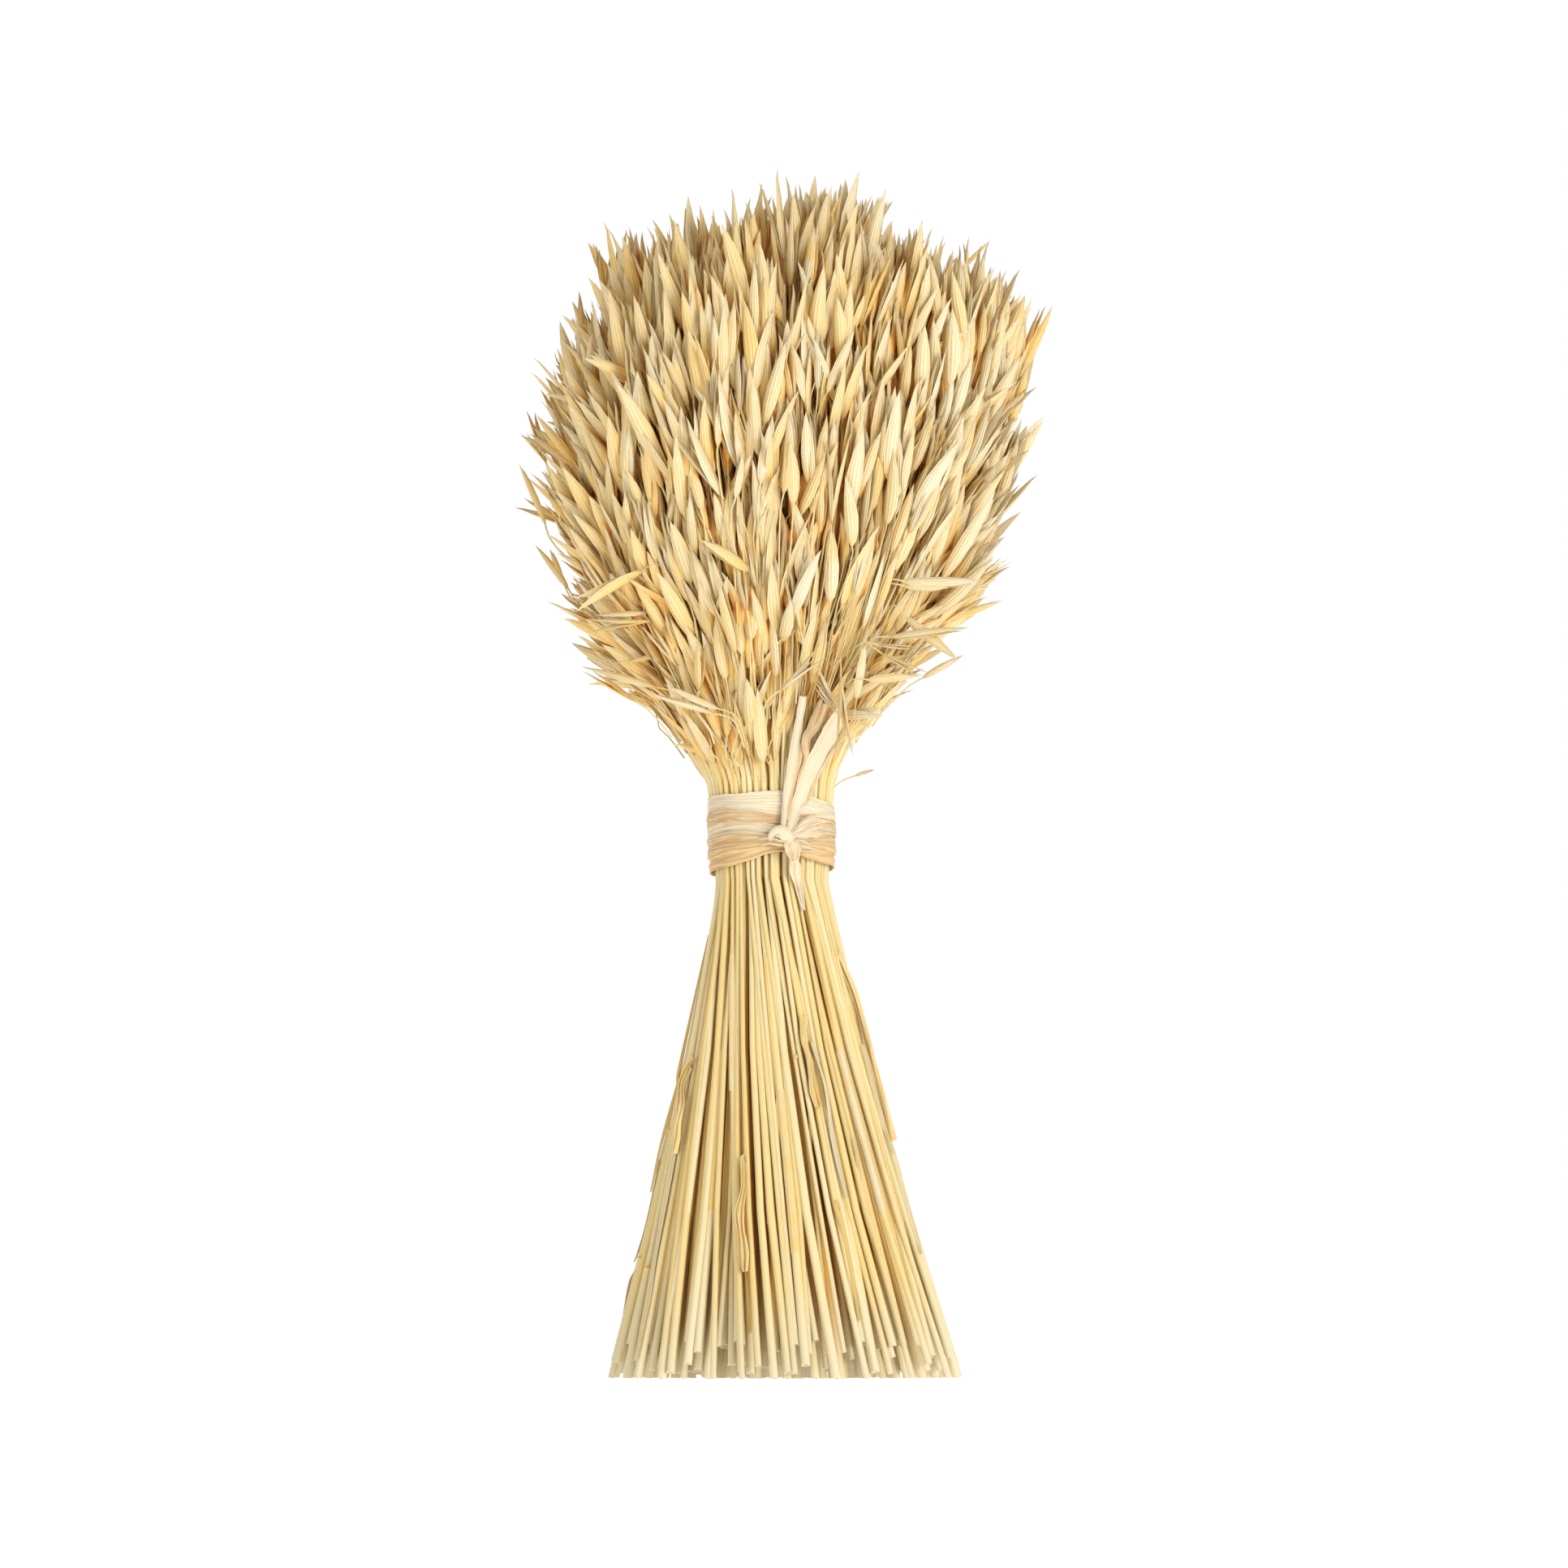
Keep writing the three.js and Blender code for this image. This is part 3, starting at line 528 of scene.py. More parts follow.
def crown_sink(x, z):
    low, high = CROWN_SINK_HEIGHTS
    return value_at(CROWN_SINKS, x) * min(1, max(0, (z - low) / (high - low)))


def in_gap(point, direction):
    """Whether a spikelet would cover one of the photo's dark gaps"""
    middle = point + direction * GAP_REACH
    return point.y < 0 and any(
        abs(middle.x - x) < wide and abs(middle.z - z) < tall for x, z, wide, tall in GAPS)


def direction_of(elevation, azimuth):
    level = math.cos(math.radians(elevation))
    turn = math.radians(azimuth)
    return Vector((level * math.cos(turn), level * math.sin(turn), math.sin(math.radians(elevation))))


def curve_through(points, steps):
    """Points at even steps along a smooth curve through these"""
    last = len(points) - 1
    curve = []
    for i in range(steps + 1):
        place = i / steps * last
        k = min(int(place), last - 1)
        t = place - k
        before, start, end = points[max(k - 1, 0)], points[k], points[k + 1]
        after = points[min(k + 2, last)]
        bend = (before * 2 - start * 5 + end * 4 - after) * t * t
        twist = (start * 3 - before - end * 3 + after) * t ** 3
        curve.append((start * 2 + (end - before) * t + bend + twist) / 2)
    return curve


# Small shapes that are copied many times

def unwrap(mesh):
    """Gives the grain's map: U goes round the shape and V up its length"""
    layer = mesh.loops.layers.uv.new("Grain")
    for face in mesh.faces:
        middle = face.calc_center_median()
        turn = math.atan2(middle.y, middle.x) / math.tau
        for loop in face.loops:
            x, y, z = loop.vert.co
            angle = math.atan2(y, x) / math.tau if math.hypot(x, y) > 1e-5 else turn
            loop[layer].uv = (angle + round(turn - angle), z)


def stored(mesh, name, material=None):
    """The finished bmesh as a mesh to copy from"""
    if material is not None:
        for face in mesh.faces:
            face.material_index = material
    if "tone" not in mesh.verts.layers.float:
        mesh.verts.layers.float.new("tone")
    shape = bpy.data.meshes.new(name)
    mesh.to_mesh(shape)
    mesh.free()
    return shape


def turned_mesh(outline, sides):
    """A mesh made by turning a line round Z, from stations of height and radius"""
    mesh = bmesh.new()
    verts = [mesh.verts.new((radius, 0, z)) for z, radius in outline]
    edges = [mesh.edges.new(pair) for pair in zip(verts, verts[1:])]
    bmesh.ops.spin(
        mesh, geom=verts + edges, cent=(0, 0, 0), axis=(0, 0, 1), dvec=(0, 0, 0),
        angle=math.tau, steps=sides, use_merge=True, use_duplicate=False)
    return mesh


def lance(outline, sides):
    """A closed pointed body round Z, one unit long"""
    mesh = turned_mesh(outline, sides)
    bmesh.ops.remove_doubles(mesh, verts=mesh.verts[:], dist=1e-4)
    bmesh.ops.recalc_face_normals(mesh, faces=mesh.faces[:])
    unwrap(mesh)
    return mesh


def take(mesh, part):
    """Moves a part's faces into the mesh"""
    carrier = bpy.data.meshes.new("carrier")
    part.to_mesh(carrier)
    part.free()
    mesh.from_mesh(carrier)
    bpy.data.meshes.remove(carrier)


def husk(width, length, opening):
    """One boat-shaped husk whose back bulges towards +Y and whose tip leans that way"""
    mesh = lance(HUSK_OUTLINE, HUSK_SIDES)
    for vert in mesh.verts:
        x, y, z = vert.co
        x *= width
        boat = HUSK_BOAT * math.sin(math.pi * min(1, z * 1.15)) ** 0.7
        bulge = y * HUSK_THICKNESS * 2 - HUSK_CURL * x * x + boat
        vert.co = (x, bulge + opening * z ** 2.2, z * length)
    return mesh


def spikelet_shape(name, width, length, opening, bow, grain):
    """Two husks that lie face to face and part at the tip, with a grain between them if they are open"""
    mesh = bmesh.new()
    for turn, share in ((0, 1), (math.pi, 0.9)):
        part = husk(width, length * share, opening)
        bmesh.ops.rotate(part, cent=(0, 0, 0), matrix=Matrix.Rotation(turn, 3, "Z"), verts=part.verts[:])
        take(mesh, part)
    if grain:
        part = lance(PLAIN_OUTLINE, 4)
        bmesh.ops.scale(part, vec=(width * 0.45, width * 0.4, length * 0.72), verts=part.verts[:])
        take(mesh, part)
    for vert in mesh.verts:
        vert.co.x += bow * (vert.co.z / length) ** 2
    return stored(mesh, name, HUSK)


def plain_spikelet_shape(name, width, length):
    mesh = lance(PLAIN_OUTLINE, PLAIN_SIDES)
    bmesh.ops.scale(mesh, vec=(width, width * 0.75, length), verts=mesh.verts[:])
    return stored(mesh, name, HUSK)


def tube_shape(name, sides, steps, material, hollow=0.0):
    """A tube of unit radius and length, cut level, with a hollow in its foot if one is given"""
    mesh = bmesh.new()
    bmesh.ops.create_cone(mesh, cap_ends=True, segments=sides, radius1=1, radius2=1, depth=1)
    bmesh.ops.translate(mesh, vec=(0, 0, 0.5), verts=mesh.verts[:])
    for step in range(1, steps):
        bmesh.ops.bisect_plane(
            mesh, geom=mesh.verts[:] + mesh.edges[:] + mesh.faces[:],
            plane_co=(0, 0, step / steps), plane_no=(0, 0, 1))
    for face in mesh.faces:
        face.material_index = material
    if hollow:
        foot = min(mesh.faces, key=lambda face: face.calc_center_median().z)
        bmesh.ops.inset_region(mesh, faces=[foot], thickness=0.32, use_even_offset=True)
        for face in mesh.faces:
            if face.calc_center_median().z < 1e-4:
                face.material_index = PITH
        # The pushed-in bottom of the hollow is painted shade
        pushed = bmesh.ops.extrude_discrete_faces(mesh, faces=[foot])["faces"]
        pushed[0].material_index = SHADE
        bmesh.ops.translate(mesh, vec=(0, 0, hollow), verts=pushed[0].verts[:])
    unwrap(mesh)
    return stored(mesh, name)


def joint_shape():
    """The swollen ring on a straw, one unit long and of unit radius"""
    mesh = lance([(0, 0), (0, 0.96), (0.2, 1.12), (0.5, 1.17), (0.8, 1.1), (1, 0.94), (1, 0)], 8)
    return stored(mesh, "joint", STRAW)


def make_shapes(sizes):
    """The small shapes by name"""
    length, width = sizes.spikelet_length / MM, sizes.spikelet_width / MM
    opening = sizes.husk_opening / MM
    kinds = [
        (1, 1, 0.05, 0.8, False), (0.86, 0.95, 0.2, -1.4, False), (1.0, 1.1, 0.35, 2.0, False),
        (0.92, 0.9, 0.5, -1.8, False), (1.12, 1, 0.65, 1.2, True), (0.96, 1.06, 0.9, -1.0, True),
        (0.8, 0.8, 0.3, 2.6, False), (1.1, 1.15, 1.3, 1.6, True),
    ]
    husks = [
        spikelet_shape(f"spikelet_{i}", width * wide, length * long, opening * open_share, bow, grain)
        for i, (wide, long, open_share, bow, grain) in enumerate(kinds)
    ]
    return {
        "stem": tube_shape("stem", 8, STEM_STEPS, STRAW, hollow=0.02),
        "sheath": tube_shape("sheath", 8, 4, LEAF),
        "joint": joint_shape(),
        "stalk": tube_shape("stalk", 5, 7, STRAW),
        "pedicel": tube_shape("pedicel", 3, 5, STRAW),
        "plain": plain_spikelet_shape("plain", width * 0.95, length),
        "husks": husks,
    }


def forget_shapes(shapes):
    for shape in [*shapes["husks"], *(shape for name, shape in shapes.items() if name != "husks")]:
        bpy.data.meshes.remove(shape)


# Paths and pieces

def path_frames(points, sizes, facings):
    """A point, two sideways directions and a size for each station of a path"""
    last = len(points) - 1
    frames = []
    for i, point in enumerate(points):
        along = (points[min(i + 1, last)] - points[max(i - 1, 0)]).normalized()
        side = facings[i].cross(along)
        if side.length < 0.05:
            side = Vector((1, 0.3, 0.2)).cross(along)
        side.normalize()
        frames.append((point, side, along.cross(side), sizes[i]))
    return frames


def on_path(frames, share, x, y, lift=0.0):
    """The place of a section's point at this share of a path, with X and Y in the section's size"""
    place = max(0, share) * (len(frames) - 1)
    step = min(int(place), len(frames) - 2)
    ends = [
        point + side * (x * size) + face * (y * size + lift)
        for point, side, face, size in frames[step:step + 2]
    ]
    return ends[0].lerp(ends[1], place - step)


class Piece:
    """One mesh in the making, in the sheaf's own millimetres"""

    def __init__(self):
        self.mesh = bmesh.new()

    def add(self, copy, tone):
        copy.attributes["tone"].data.foreach_set("value", [tone] * len(copy.vertices))
        self.mesh.from_mesh(copy)
        bpy.data.meshes.remove(copy)

    def place(self, shape, matrix, tone):
        copy = shape.copy()
        copy.transform(matrix)
        self.add(copy, tone)

    def bend(self, shape, points, radii, tone, floor=False):
        """A copy of a tube along a path, cut level where it would reach below the floor"""
        copy = shape.copy()
        turned = [Vector((0, 0, 1)).cross(outward_at(point)) for point in points]
        frames = path_frames(points, radii, turned)
        for vertex in copy.vertices:
            x, y, z = vertex.co
            vertex.co = on_path(frames, z, x, y)
            if floor:
                vertex.co.z = max(0, vertex.co.z)
        self.add(copy, tone)

    def strip(
            self, points, widths, tone, thickness, pleats=0, pleat_depth=0.0, material=0, twist=0.0,
            across=6):
        """A flat strip along a path, turned outwards, with lengthwise pleats"""
        last = len(points) - 1
        facings = []
        for i, point in enumerate(points):
            outward = outward_at(point)
            facings.append(Matrix.Rotation(twist * i / last, 3, "Z") @ outward)
        frames = path_frames(points, widths, facings)
        mesh = bmesh.new()
        bmesh.ops.create_grid(mesh, x_segments=across, y_segments=last, size=0.5)
        layer = mesh.loops.layers.uv.new("Grain")
        for face in mesh.faces:
            face.material_index = material
            for loop in face.loops:
                loop[layer].uv = (loop.vert.co.x + 0.5, loop.vert.co.y + 0.5)
        for vert in mesh.verts:
            x, y, _ = vert.co
            wave = math.sin(math.tau * (pleats * x + 0.13) + 2.1 * y)
            vert.co = on_path(frames, y + 0.5, x, 0, pleat_depth * wave)
        bmesh.ops.recalc_face_normals(mesh, faces=mesh.faces[:])
        bmesh.ops.solidify(mesh, geom=mesh.faces[:], thickness=thickness)
        bmesh.ops.recalc_face_normals(mesh, faces=mesh.faces[:])
        self.add(stored(mesh, "strip"), tone)

    def finish(self, name, materials, replaced=()):
        """The piece as an object on the sheaf's body, in place of the CAD nodes that it stands for"""
        mesh = bpy.data.meshes.new(name)
        self.mesh.to_mesh(mesh)
        self.mesh.free()
        mesh.transform(sheaf_place())
        for material in materials:
            mesh.materials.append(material)
        mesh.shade_smooth()
        mesh.set_sharp_from_angle(angle=math.radians(SHARP_ANGLE))
        piece = bpy.data.objects.new(name, mesh)
        bpy.context.scene.collection.objects.link(piece)
        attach(piece, "root")
        if replaced:
            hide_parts(*replaced)
        return piece


def sheaf_place():
    """From the sheaf's own millimetres to the frame, which a wrap of the tie places"""
    low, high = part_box("raffia_wrap_2")
    middle = (low + high) / 2
    shift = axis_shift(middle.z / MM)
    return Matrix.Translation((middle.x - shift * MM, middle.y, 0)) @ Matrix.Scale(MM, 4)


# Bunches of stalks

def bunch_of(kind, index, count, seed, rows):
    """One wedge of the sheaf: its name, seed, angles and rows of stems"""
    width = 360 / count
    return {
        "name": f"stalks_{kind}_{index + 1:02d}", "number": index + 1, "seed": seed + index * SEED_STEP,
        "from": index * width, "to": (index + 1) * width, "rows": rows, "outside": kind == "outer",
    }


def outer_bunch(index):
    return bunch_of("outer", index, OUTER_BUNCHES, SEED, OUTER_ROWS)


def inner_bunch(index):
    return bunch_of("inner", index, INNER_BUNCHES, SEED + INNER_SEED, INNER_ROWS)


def middle_angle(bunch):
    return (bunch["from"] + bunch["to"]) / 2


def stem_point(bunch, share, lean, radius, turn, z, thickness):
    """A point on a stem's line, kept off the bunch's side planes"""
    half = math.radians((bunch["to"] - bunch["from"]) / 2)
    out = share * radius
    room = max(0, out * math.sin(half) - CLEARANCE / 2 - thickness / 2)
    aside = min(room, max(-room, out * math.sin(half * lean)))
    angle = math.radians(middle_angle(bunch) + turn)
    x = out * math.cos(angle) - aside * math.sin(angle) + axis_shift(z)
    return Vector((x, out * math.sin(angle) + aside * math.cos(angle), z))


def source_stems(bunch):
    """The stems of the part's source, by the same draws: shares at foot and tie, lean and cut"""
    draw = random_source(bunch["seed"])
    stems = []
    for row_share, count, shift in bunch["rows"]:
        for i in range(count):
            lean = (i + 0.5) / count * 2 - 1 + shift
            share = row_share + spread(draw, STEM_SHARE_SPREAD)
            lean += spread(draw, STEM_LEAN_SPREAD)
            raised = draw() * HIGHEST_CUT if draw() < RAISED_SHARE else 0
            draw()
            stems.append((share, share, lean, lean, raised))
    return stems


def fine_stems(draw):
    """Stems between those of the source"""
    stems = []
    for foot_share, tie_share, count in FINE_ROWS:
        for i in range(count):
            lean = (i + 0.5) / count * 2 - 1 + spread(draw, FINE_LEAN_SPREAD)
            raised = between(draw, *FINE_CUTS) * HIGHEST_CUT
            foot_share_here = foot_share + spread(draw, FINE_SHARE_SPREAD)
            stems.append((foot_share_here, tie_share, lean + spread(draw, FINE_TWIST), lean, raised))
    return stems


def stem_path(bunch, stem, draw):
    """A straw from its cut end, through the tie and up into the head"""
    foot_share, tie_share, foot_lean, lean, raised = stem
    foot = stem_point(bunch, foot_share, foot_lean, FOOT_RADIUS, FOOT_TURN, 0, FOOT_THICKNESS)
    top = stem_point(bunch, tie_share, lean, STEM_TOP_RADIUS, 0, STEM_TOP, TOP_THICKNESS)
    sideways = Vector((0, 0, 1)).cross(outward_at(foot))
    bow = sideways * spread(draw, STEM_BOW) - outward_at(foot) * between(draw, 0.5, 1) * STEM_HOLLOW
    points = [foot.lerp(top, raised / STEM_TOP)]
    for z in STEM_HEIGHTS:
        if z <= STEM_TOP:
            share = z / STEM_TOP
            points.append(foot.lerp(top, share) + bow * (4 * share * (1 - share)))
        else:
            profile = WAIST_PROFILE if z <= 240 else HEAD_PROFILE
            points.append(stem_point(bunch, tie_share, lean, value_at(profile, z), 0, z, TOP_THICKNESS))
    end = between(draw, *STEM_ENDS)
    points.append(stem_point(bunch, min(1, tie_share), lean, value_at(HEAD_PROFILE, end) * 0.94, 0, end, 1))
    return points


def stem_radii(sizes, draw):
    foot, tie = sizes.stem_foot / MM / 2, sizes.stem_tie / MM / 2
    scale = between(draw, *STEM_SCALES)
    levels = [(0, foot * scale), (STEM_TOP, tie * scale), (206, tie * 0.96), (224, tie * 0.9), *THIN_ENDS]
    return [value_at(levels, z) for z in (0, *STEM_HEIGHTS, 300)]


def straw_radius(radii, z):
    """A straw's radius at this height, below the tie"""
    return radii[0] + (radii[3] - radii[0]) * (z / STEM_TOP)


def add_stem(piece, shapes, sizes, bunch, stem, draw):
    points = stem_path(bunch, stem, draw)
    radii = stem_radii(sizes, draw)
    piece.bend(shapes["stem"], points, radii, between(draw, *STEM_TONES), floor=True)
    if draw() < JOINT_SHARE:
        low = points[0].lerp(points[3], between(draw, 0.1, 0.9))
        along = (points[3] - points[0]).normalized()
        radius = straw_radius(radii, low.z)
        size = Matrix.Diagonal((radius, radius, JOINT_HEIGHT, 1))
        piece.place(shapes["joint"], along_matrix(low, along, outward_at(low), 0) @ size, JOINT_TONE)
    return points, radii


def add_sheath(piece, shapes, points, radii, draw):
    """A dry sheath round a straw, from a joint upwards"""
    start = between(draw, *SHEATH_STARTS)
    end = start + between(draw, *SHEATH_LENGTHS)
    path = curve_through(points[:4], 12)
    chosen = [path[round(12 * (start + (end - start) * i / 4))] for i in range(5)]
    fat = [straw_radius(radii, point.z) + SHEATH_LOOSENESS for point in chosen]
    piece.bend(shapes["sheath"], chosen, fat, between(draw, *SHEATH_TONES))
    if draw() < BLADE_SHARE:
        add_blade(piece, chosen[-1], draw)


def add_blade(piece, root, draw):
    """What is left of a leaf's blade, crumpled along its stem"""
    outward = outward_at(root)
    sideways = Vector((0, 0, 1)).cross(outward) * spread(draw, 1)
    length = between(draw, *BLADE_LENGTHS)
    down = -1 if draw() < HANGING_BLADES else 1
    points = [
        root + outward * (0.8 + 2.4 * math.sin(2.6 * share)) + sideways * (3 * share)
        + Vector((0, 0, down * length * share))
        for share in (0, 0.3, 0.65, 1)
    ]
    path = curve_through(points, 9)
    piece.strip(
        path, widths_along(BLADE_WIDTHS, 9), between(draw, *BLADE_TONES), 0.22,
        pleats=1, pleat_depth=0.4, material=LEAF, twist=spread(draw, 2.4), across=4)


def add_leaf_strip(piece, points, draw):
    """A thin dry strip of leaf that lies along a straw"""
    start = between(draw, 0, 1.4)
    stations = [start + between(draw, 0.8, 1.6) * share for share in (0, 0.25, 0.5, 0.75, 1)]
    path = []
    for station in stations:
        station = min(2.98, station)
        k = int(station)
        point = points[k].lerp(points[k + 1], station - k)
        outward = outward_at(point)
        sideways = Vector((0, 0, 1)).cross(outward)
        path.append(point + outward * between(draw, 1.4, 2.8) + sideways * spread(draw, 1.6))
    width = between(draw, *LEAF_STRIP_WIDTHS)
    widths = widths_along([width * share for share in LEAF_STRIP_SHAPE], LEAF_STRIP_STEPS)
    piece.strip(
        curve_through(path, LEAF_STRIP_STEPS), widths, between(draw, 0.2, 1.0), 0.2,
        pleats=1, pleat_depth=0.25, material=LEAF, twist=spread(draw, 3), across=4)


def widths_along(widths, steps):
    levels = [(i / (len(widths) - 1), width) for i, width in enumerate(widths)]
    return [value_at(levels, i / steps) for i in range(steps + 1)]


def add_leaf(piece, leaf, bunch, draw):
    """The dry leaf of the part's source, as a crumpled blade"""
    _, height, length, width, lift = leaf
    share_out, lean = LEAF_ROW
    foot = stem_point(bunch, share_out, lean, FOOT_RADIUS, FOOT_TURN, 0, FOOT_THICKNESS)
    top = stem_point(bunch, share_out, lean, STEM_TOP_RADIUS, 0, STEM_TOP, TOP_THICKNESS)
    points = []
    for share in (0, 0.25, 0.5, 0.75, 1):
        middle = foot.lerp(top, (height + length * share) / STEM_TOP)
        outward = outward_at(middle)
        sideways = Vector((0, 0, 1)).cross(outward)
        away = 1 + lift * LEAF_LIFT * math.sin(share * 3.1)
        points.append(middle + outward * away + sideways * spread(draw, 2))
    widths = widths_along([width * share for share in LEAF_SHAPE], LEAF_STEPS)
    piece.strip(
        curve_through(points, LEAF_STEPS), widths, LEAF_TONE, 0.25,
        pleats=2, pleat_depth=0.8, material=LEAF, twist=1 + spread(draw, 1), across=8)


def along_matrix(root, direction, outward, roll):
    """Z goes along the direction and Y towards the outside, turned by the roll"""
    side = outward.cross(direction)
    if side.length < 0.05:
        side = Vector((1, 0, 0)).cross(direction)
    side.normalize()
    basis = Matrix((side, direction.cross(side), direction)).transposed().to_4x4()
    return Matrix.Translation(root) @ basis @ Matrix.Rotation(roll, 4, "Z")


def head_line(bunch, share):
    """The line up the head's side and over its top, for a layer at this share of its radius"""
    top_z, top_radius = HEAD_PROFILE[-1]
    crown_z, crown_radius = CROWN
    drop = max(0, 1 - share) * LAYER_DROP
    rim = (top_radius * INNER_SHARE, top_z - drop)
    if not bunch["outside"]:
        return [rim, (crown_radius * INNER_CORE_SHARE, crown_z - drop), (3, crown_z - drop)]
    start = (value_at(HEAD_PROFILE, LOWEST_SPIKELET) * min(1, share), LOWEST_SPIKELET)
    side = [
        (radius * value_at([(240, min(1, share)), (300, share)], z), z - drop * max(0, z - 325) / 94)
        for z, radius in HEAD_PROFILE if z > LOWEST_SPIKELET
    ]
    return [start, *side, rim]


def line_length(line):
    return sum(math.dist(start, end) for start, end in zip(line, line[1:]))


def point_on_line(line, distance):
    for start, end in zip(line, line[1:]):
        length = math.dist(start, end)
        if distance <= length:
            share = distance / length
            return start[0] + (end[0] - start[0]) * share, start[1] + (end[1] - start[1]) * share
        distance -= length
    return line[-1]


def tail_points():
    """Points on the raffia tails, which spikelets leave free"""
    points = []
    routes = [tail[-1] for tail in TAILS.values()] + [strip[-1] for strip in LOOSE_STRIPS]
    for route in routes:
        points.extend(curve_through([front_point(*point) for point in route], 10))
    return points


def hides_tail(points, root, direction, length):
    """Whether a spikelet would stand before a tail of the tie"""
    for share in (0.1, 0.5, 0.9):
        point = root + direction * (length * share)
        for other in points:
            beside = abs(point.x - other.x) < TAIL_CLEARANCE and abs(point.z - other.z) < TAIL_CLEARANCE
            if beside and point.y < other.y + 3:
                return True
    return False


def add_spikelet(piece, shapes, root, direction, tone, draw, scale=1.0, slim=1.0, detailed=True):
    roll = spread(draw, ROLL_SPREAD)
    wide = scale * slim * between(draw, *WIDTH_SCALES)
    size = Matrix.Diagonal((wide, wide, scale * between(draw, *LENGTH_SCALES), 1))
    husks = shapes["husks"]
    shape = husks[min(len(husks) - 1, int(draw() * len(husks)))] if detailed else shapes["plain"]
    piece.place(shape, along_matrix(root, direction, outward_at(root), roll) @ size, tone)


def add_pedicel(piece, shapes, sizes, root, direction, draw):
    """The hair-thin stalk that carries a spikelet, down towards the tie"""
    outward = outward_at(root)
    target = Vector((axis_shift(216), 0, 216)) + outward * 20
    lead = root - direction * between(draw, 4, 9)
    end = lead.lerp(target, value_at(PEDICEL_REACH, root.z) * between(draw, 0.7, 1.0))
    sideways = Vector((0, 0, 1)).cross(outward)
    middle = lead.lerp(end, 0.45) + sideways * spread(draw, 1.8) + outward * spread(draw, 1.4)
    points = curve_through([root + direction * 0.5, lead, middle, end], 5)
    radius = sizes.pedicel / MM / 2
    radii = [radius * share for share in PEDICEL_TAPER]
    piece.bend(shapes["pedicel"], points, radii, between(draw, 0.45, 1.0))


def add_head(piece, shapes, sizes, bunch, clear_of, draw):
    """The spikelets of a bunch, in layers"""
    for share, spacing_share, detailed in LAYERS:
        spacing = sizes.spikelet_spacing / MM * spacing_share
        row_height = spacing * ROW_SPACING
        line = head_line(bunch, share)
        length = line_length(line)
        rows = max(1, round(length / row_height))
        for i in range(rows):
            radius, z = point_on_line(line, (i + 0.5) / rows * length)
            arc = radius * math.radians(bunch["to"] - bunch["from"])
            count = max(1, round(arc / spacing))
            for j in range(count):
                turn = (j + 0.5 + spread(draw, TURN_SPREAD)) / count
                angle = bunch["from"] + (bunch["to"] - bunch["from"]) * turn
                place = (radius, angle, z + spread(draw, row_height / 2))
                add_head_spikelet(piece, shapes, sizes, place, detailed, clear_of, draw)


def head_surface(radius, angle, z):
    """The lumpy outside of the head near this place, and the way out from there"""
    surface = sheaf_point(max(1, radius), angle, z)
    outward = outward_at(surface)
    push = value_at(RIGHT_PUSH if outward.x > 0 else LEFT_PUSH, z) * abs(outward.x)
    surface += outward * (LUMP_HEIGHT * noise.noise(surface / LUMP_SIZE) + push)
    surface.z -= crown_sink(surface.x, z)
    return surface, outward


def head_direction(outward, tuft, angle, z, draw):
    """The way that a spikelet points: much like its tuft, and now and then an odd way"""
    odd = ODD_SPREAD if draw() < ODD_SHARE else 0
    steep = value_at(ELEVATIONS, z) - value_at(SIDE_DROP, z) * abs(outward.x) ** 2
    elevation = steep + TUFT_ELEVATION * tuft.x + spread(draw, ELEVATION_SPREAD + odd)
    lean = TUFT_LEAN * tuft.y + spread(draw, LEAN_SPREAD)
    sideways = Vector((0, 0, 1)).cross(outward)
    direction = direction_of(min(STEEPEST, elevation), angle + spread(draw, odd)) + sideways * lean
    return direction.normalized()


def add_head_spikelet(piece, shapes, sizes, place, detailed, clear_of, draw):
    radius, angle, z = place
    surface, outward = head_surface(radius + spread(draw, ROOT_WANDER), angle, z)
    tuft = noise.noise_vector(surface / TUFT_SIZE)
    direction = head_direction(outward, tuft, angle, z, draw)
    root = surface - direction * (between(draw, *ROOT_DEPTHS) + TUFT_DEPTH * tuft.z)
    length = sizes.spikelet_length / MM
    root = held_in(root, direction * length)
    left_out = draw() < value_at(SPARSE_LEVELS, z) or (detailed and in_gap(root, direction))
    if left_out or hides_tail(clear_of, root, direction, length):
        return
    tint = noise.noise(surface / (TUFT_SIZE * 0.7) + Vector(TINT_SHIFT))
    # Painted light from the right and painted shade towards the crown, on top of the tufts' own tones
    tone = HEAD_TONE + value_at(CROWN_SHADE_TONE, z) + SIDE_LIGHT_TONE * outward.x + TUFT_TONE * tint
    tone = tone + spread(draw, TONE_SPREAD) + spread(draw, TONE_SPREAD)
    tone = min(1, max(0, tone))
    add_spikelet(piece, shapes, root, direction, tone, draw, between(draw, *SPIKELET_SCALES), 1, detailed)
    if detailed:
        add_pedicel(piece, shapes, sizes, root, direction, draw)


def held_in(root, reach):
    """The root moved towards the axis, so that its tip stays within the head's outline"""
    tip = root + reach
    outward = outward_at(tip)
    front, beside, behind = TIP_REACH
    end = behind if outward.y > 0 else front
    limit = end + (beside - end) * outward.x ** 2
    return root - outward * max(0, math.hypot(tip.x - axis_shift(tip.z), tip.y) - limit)


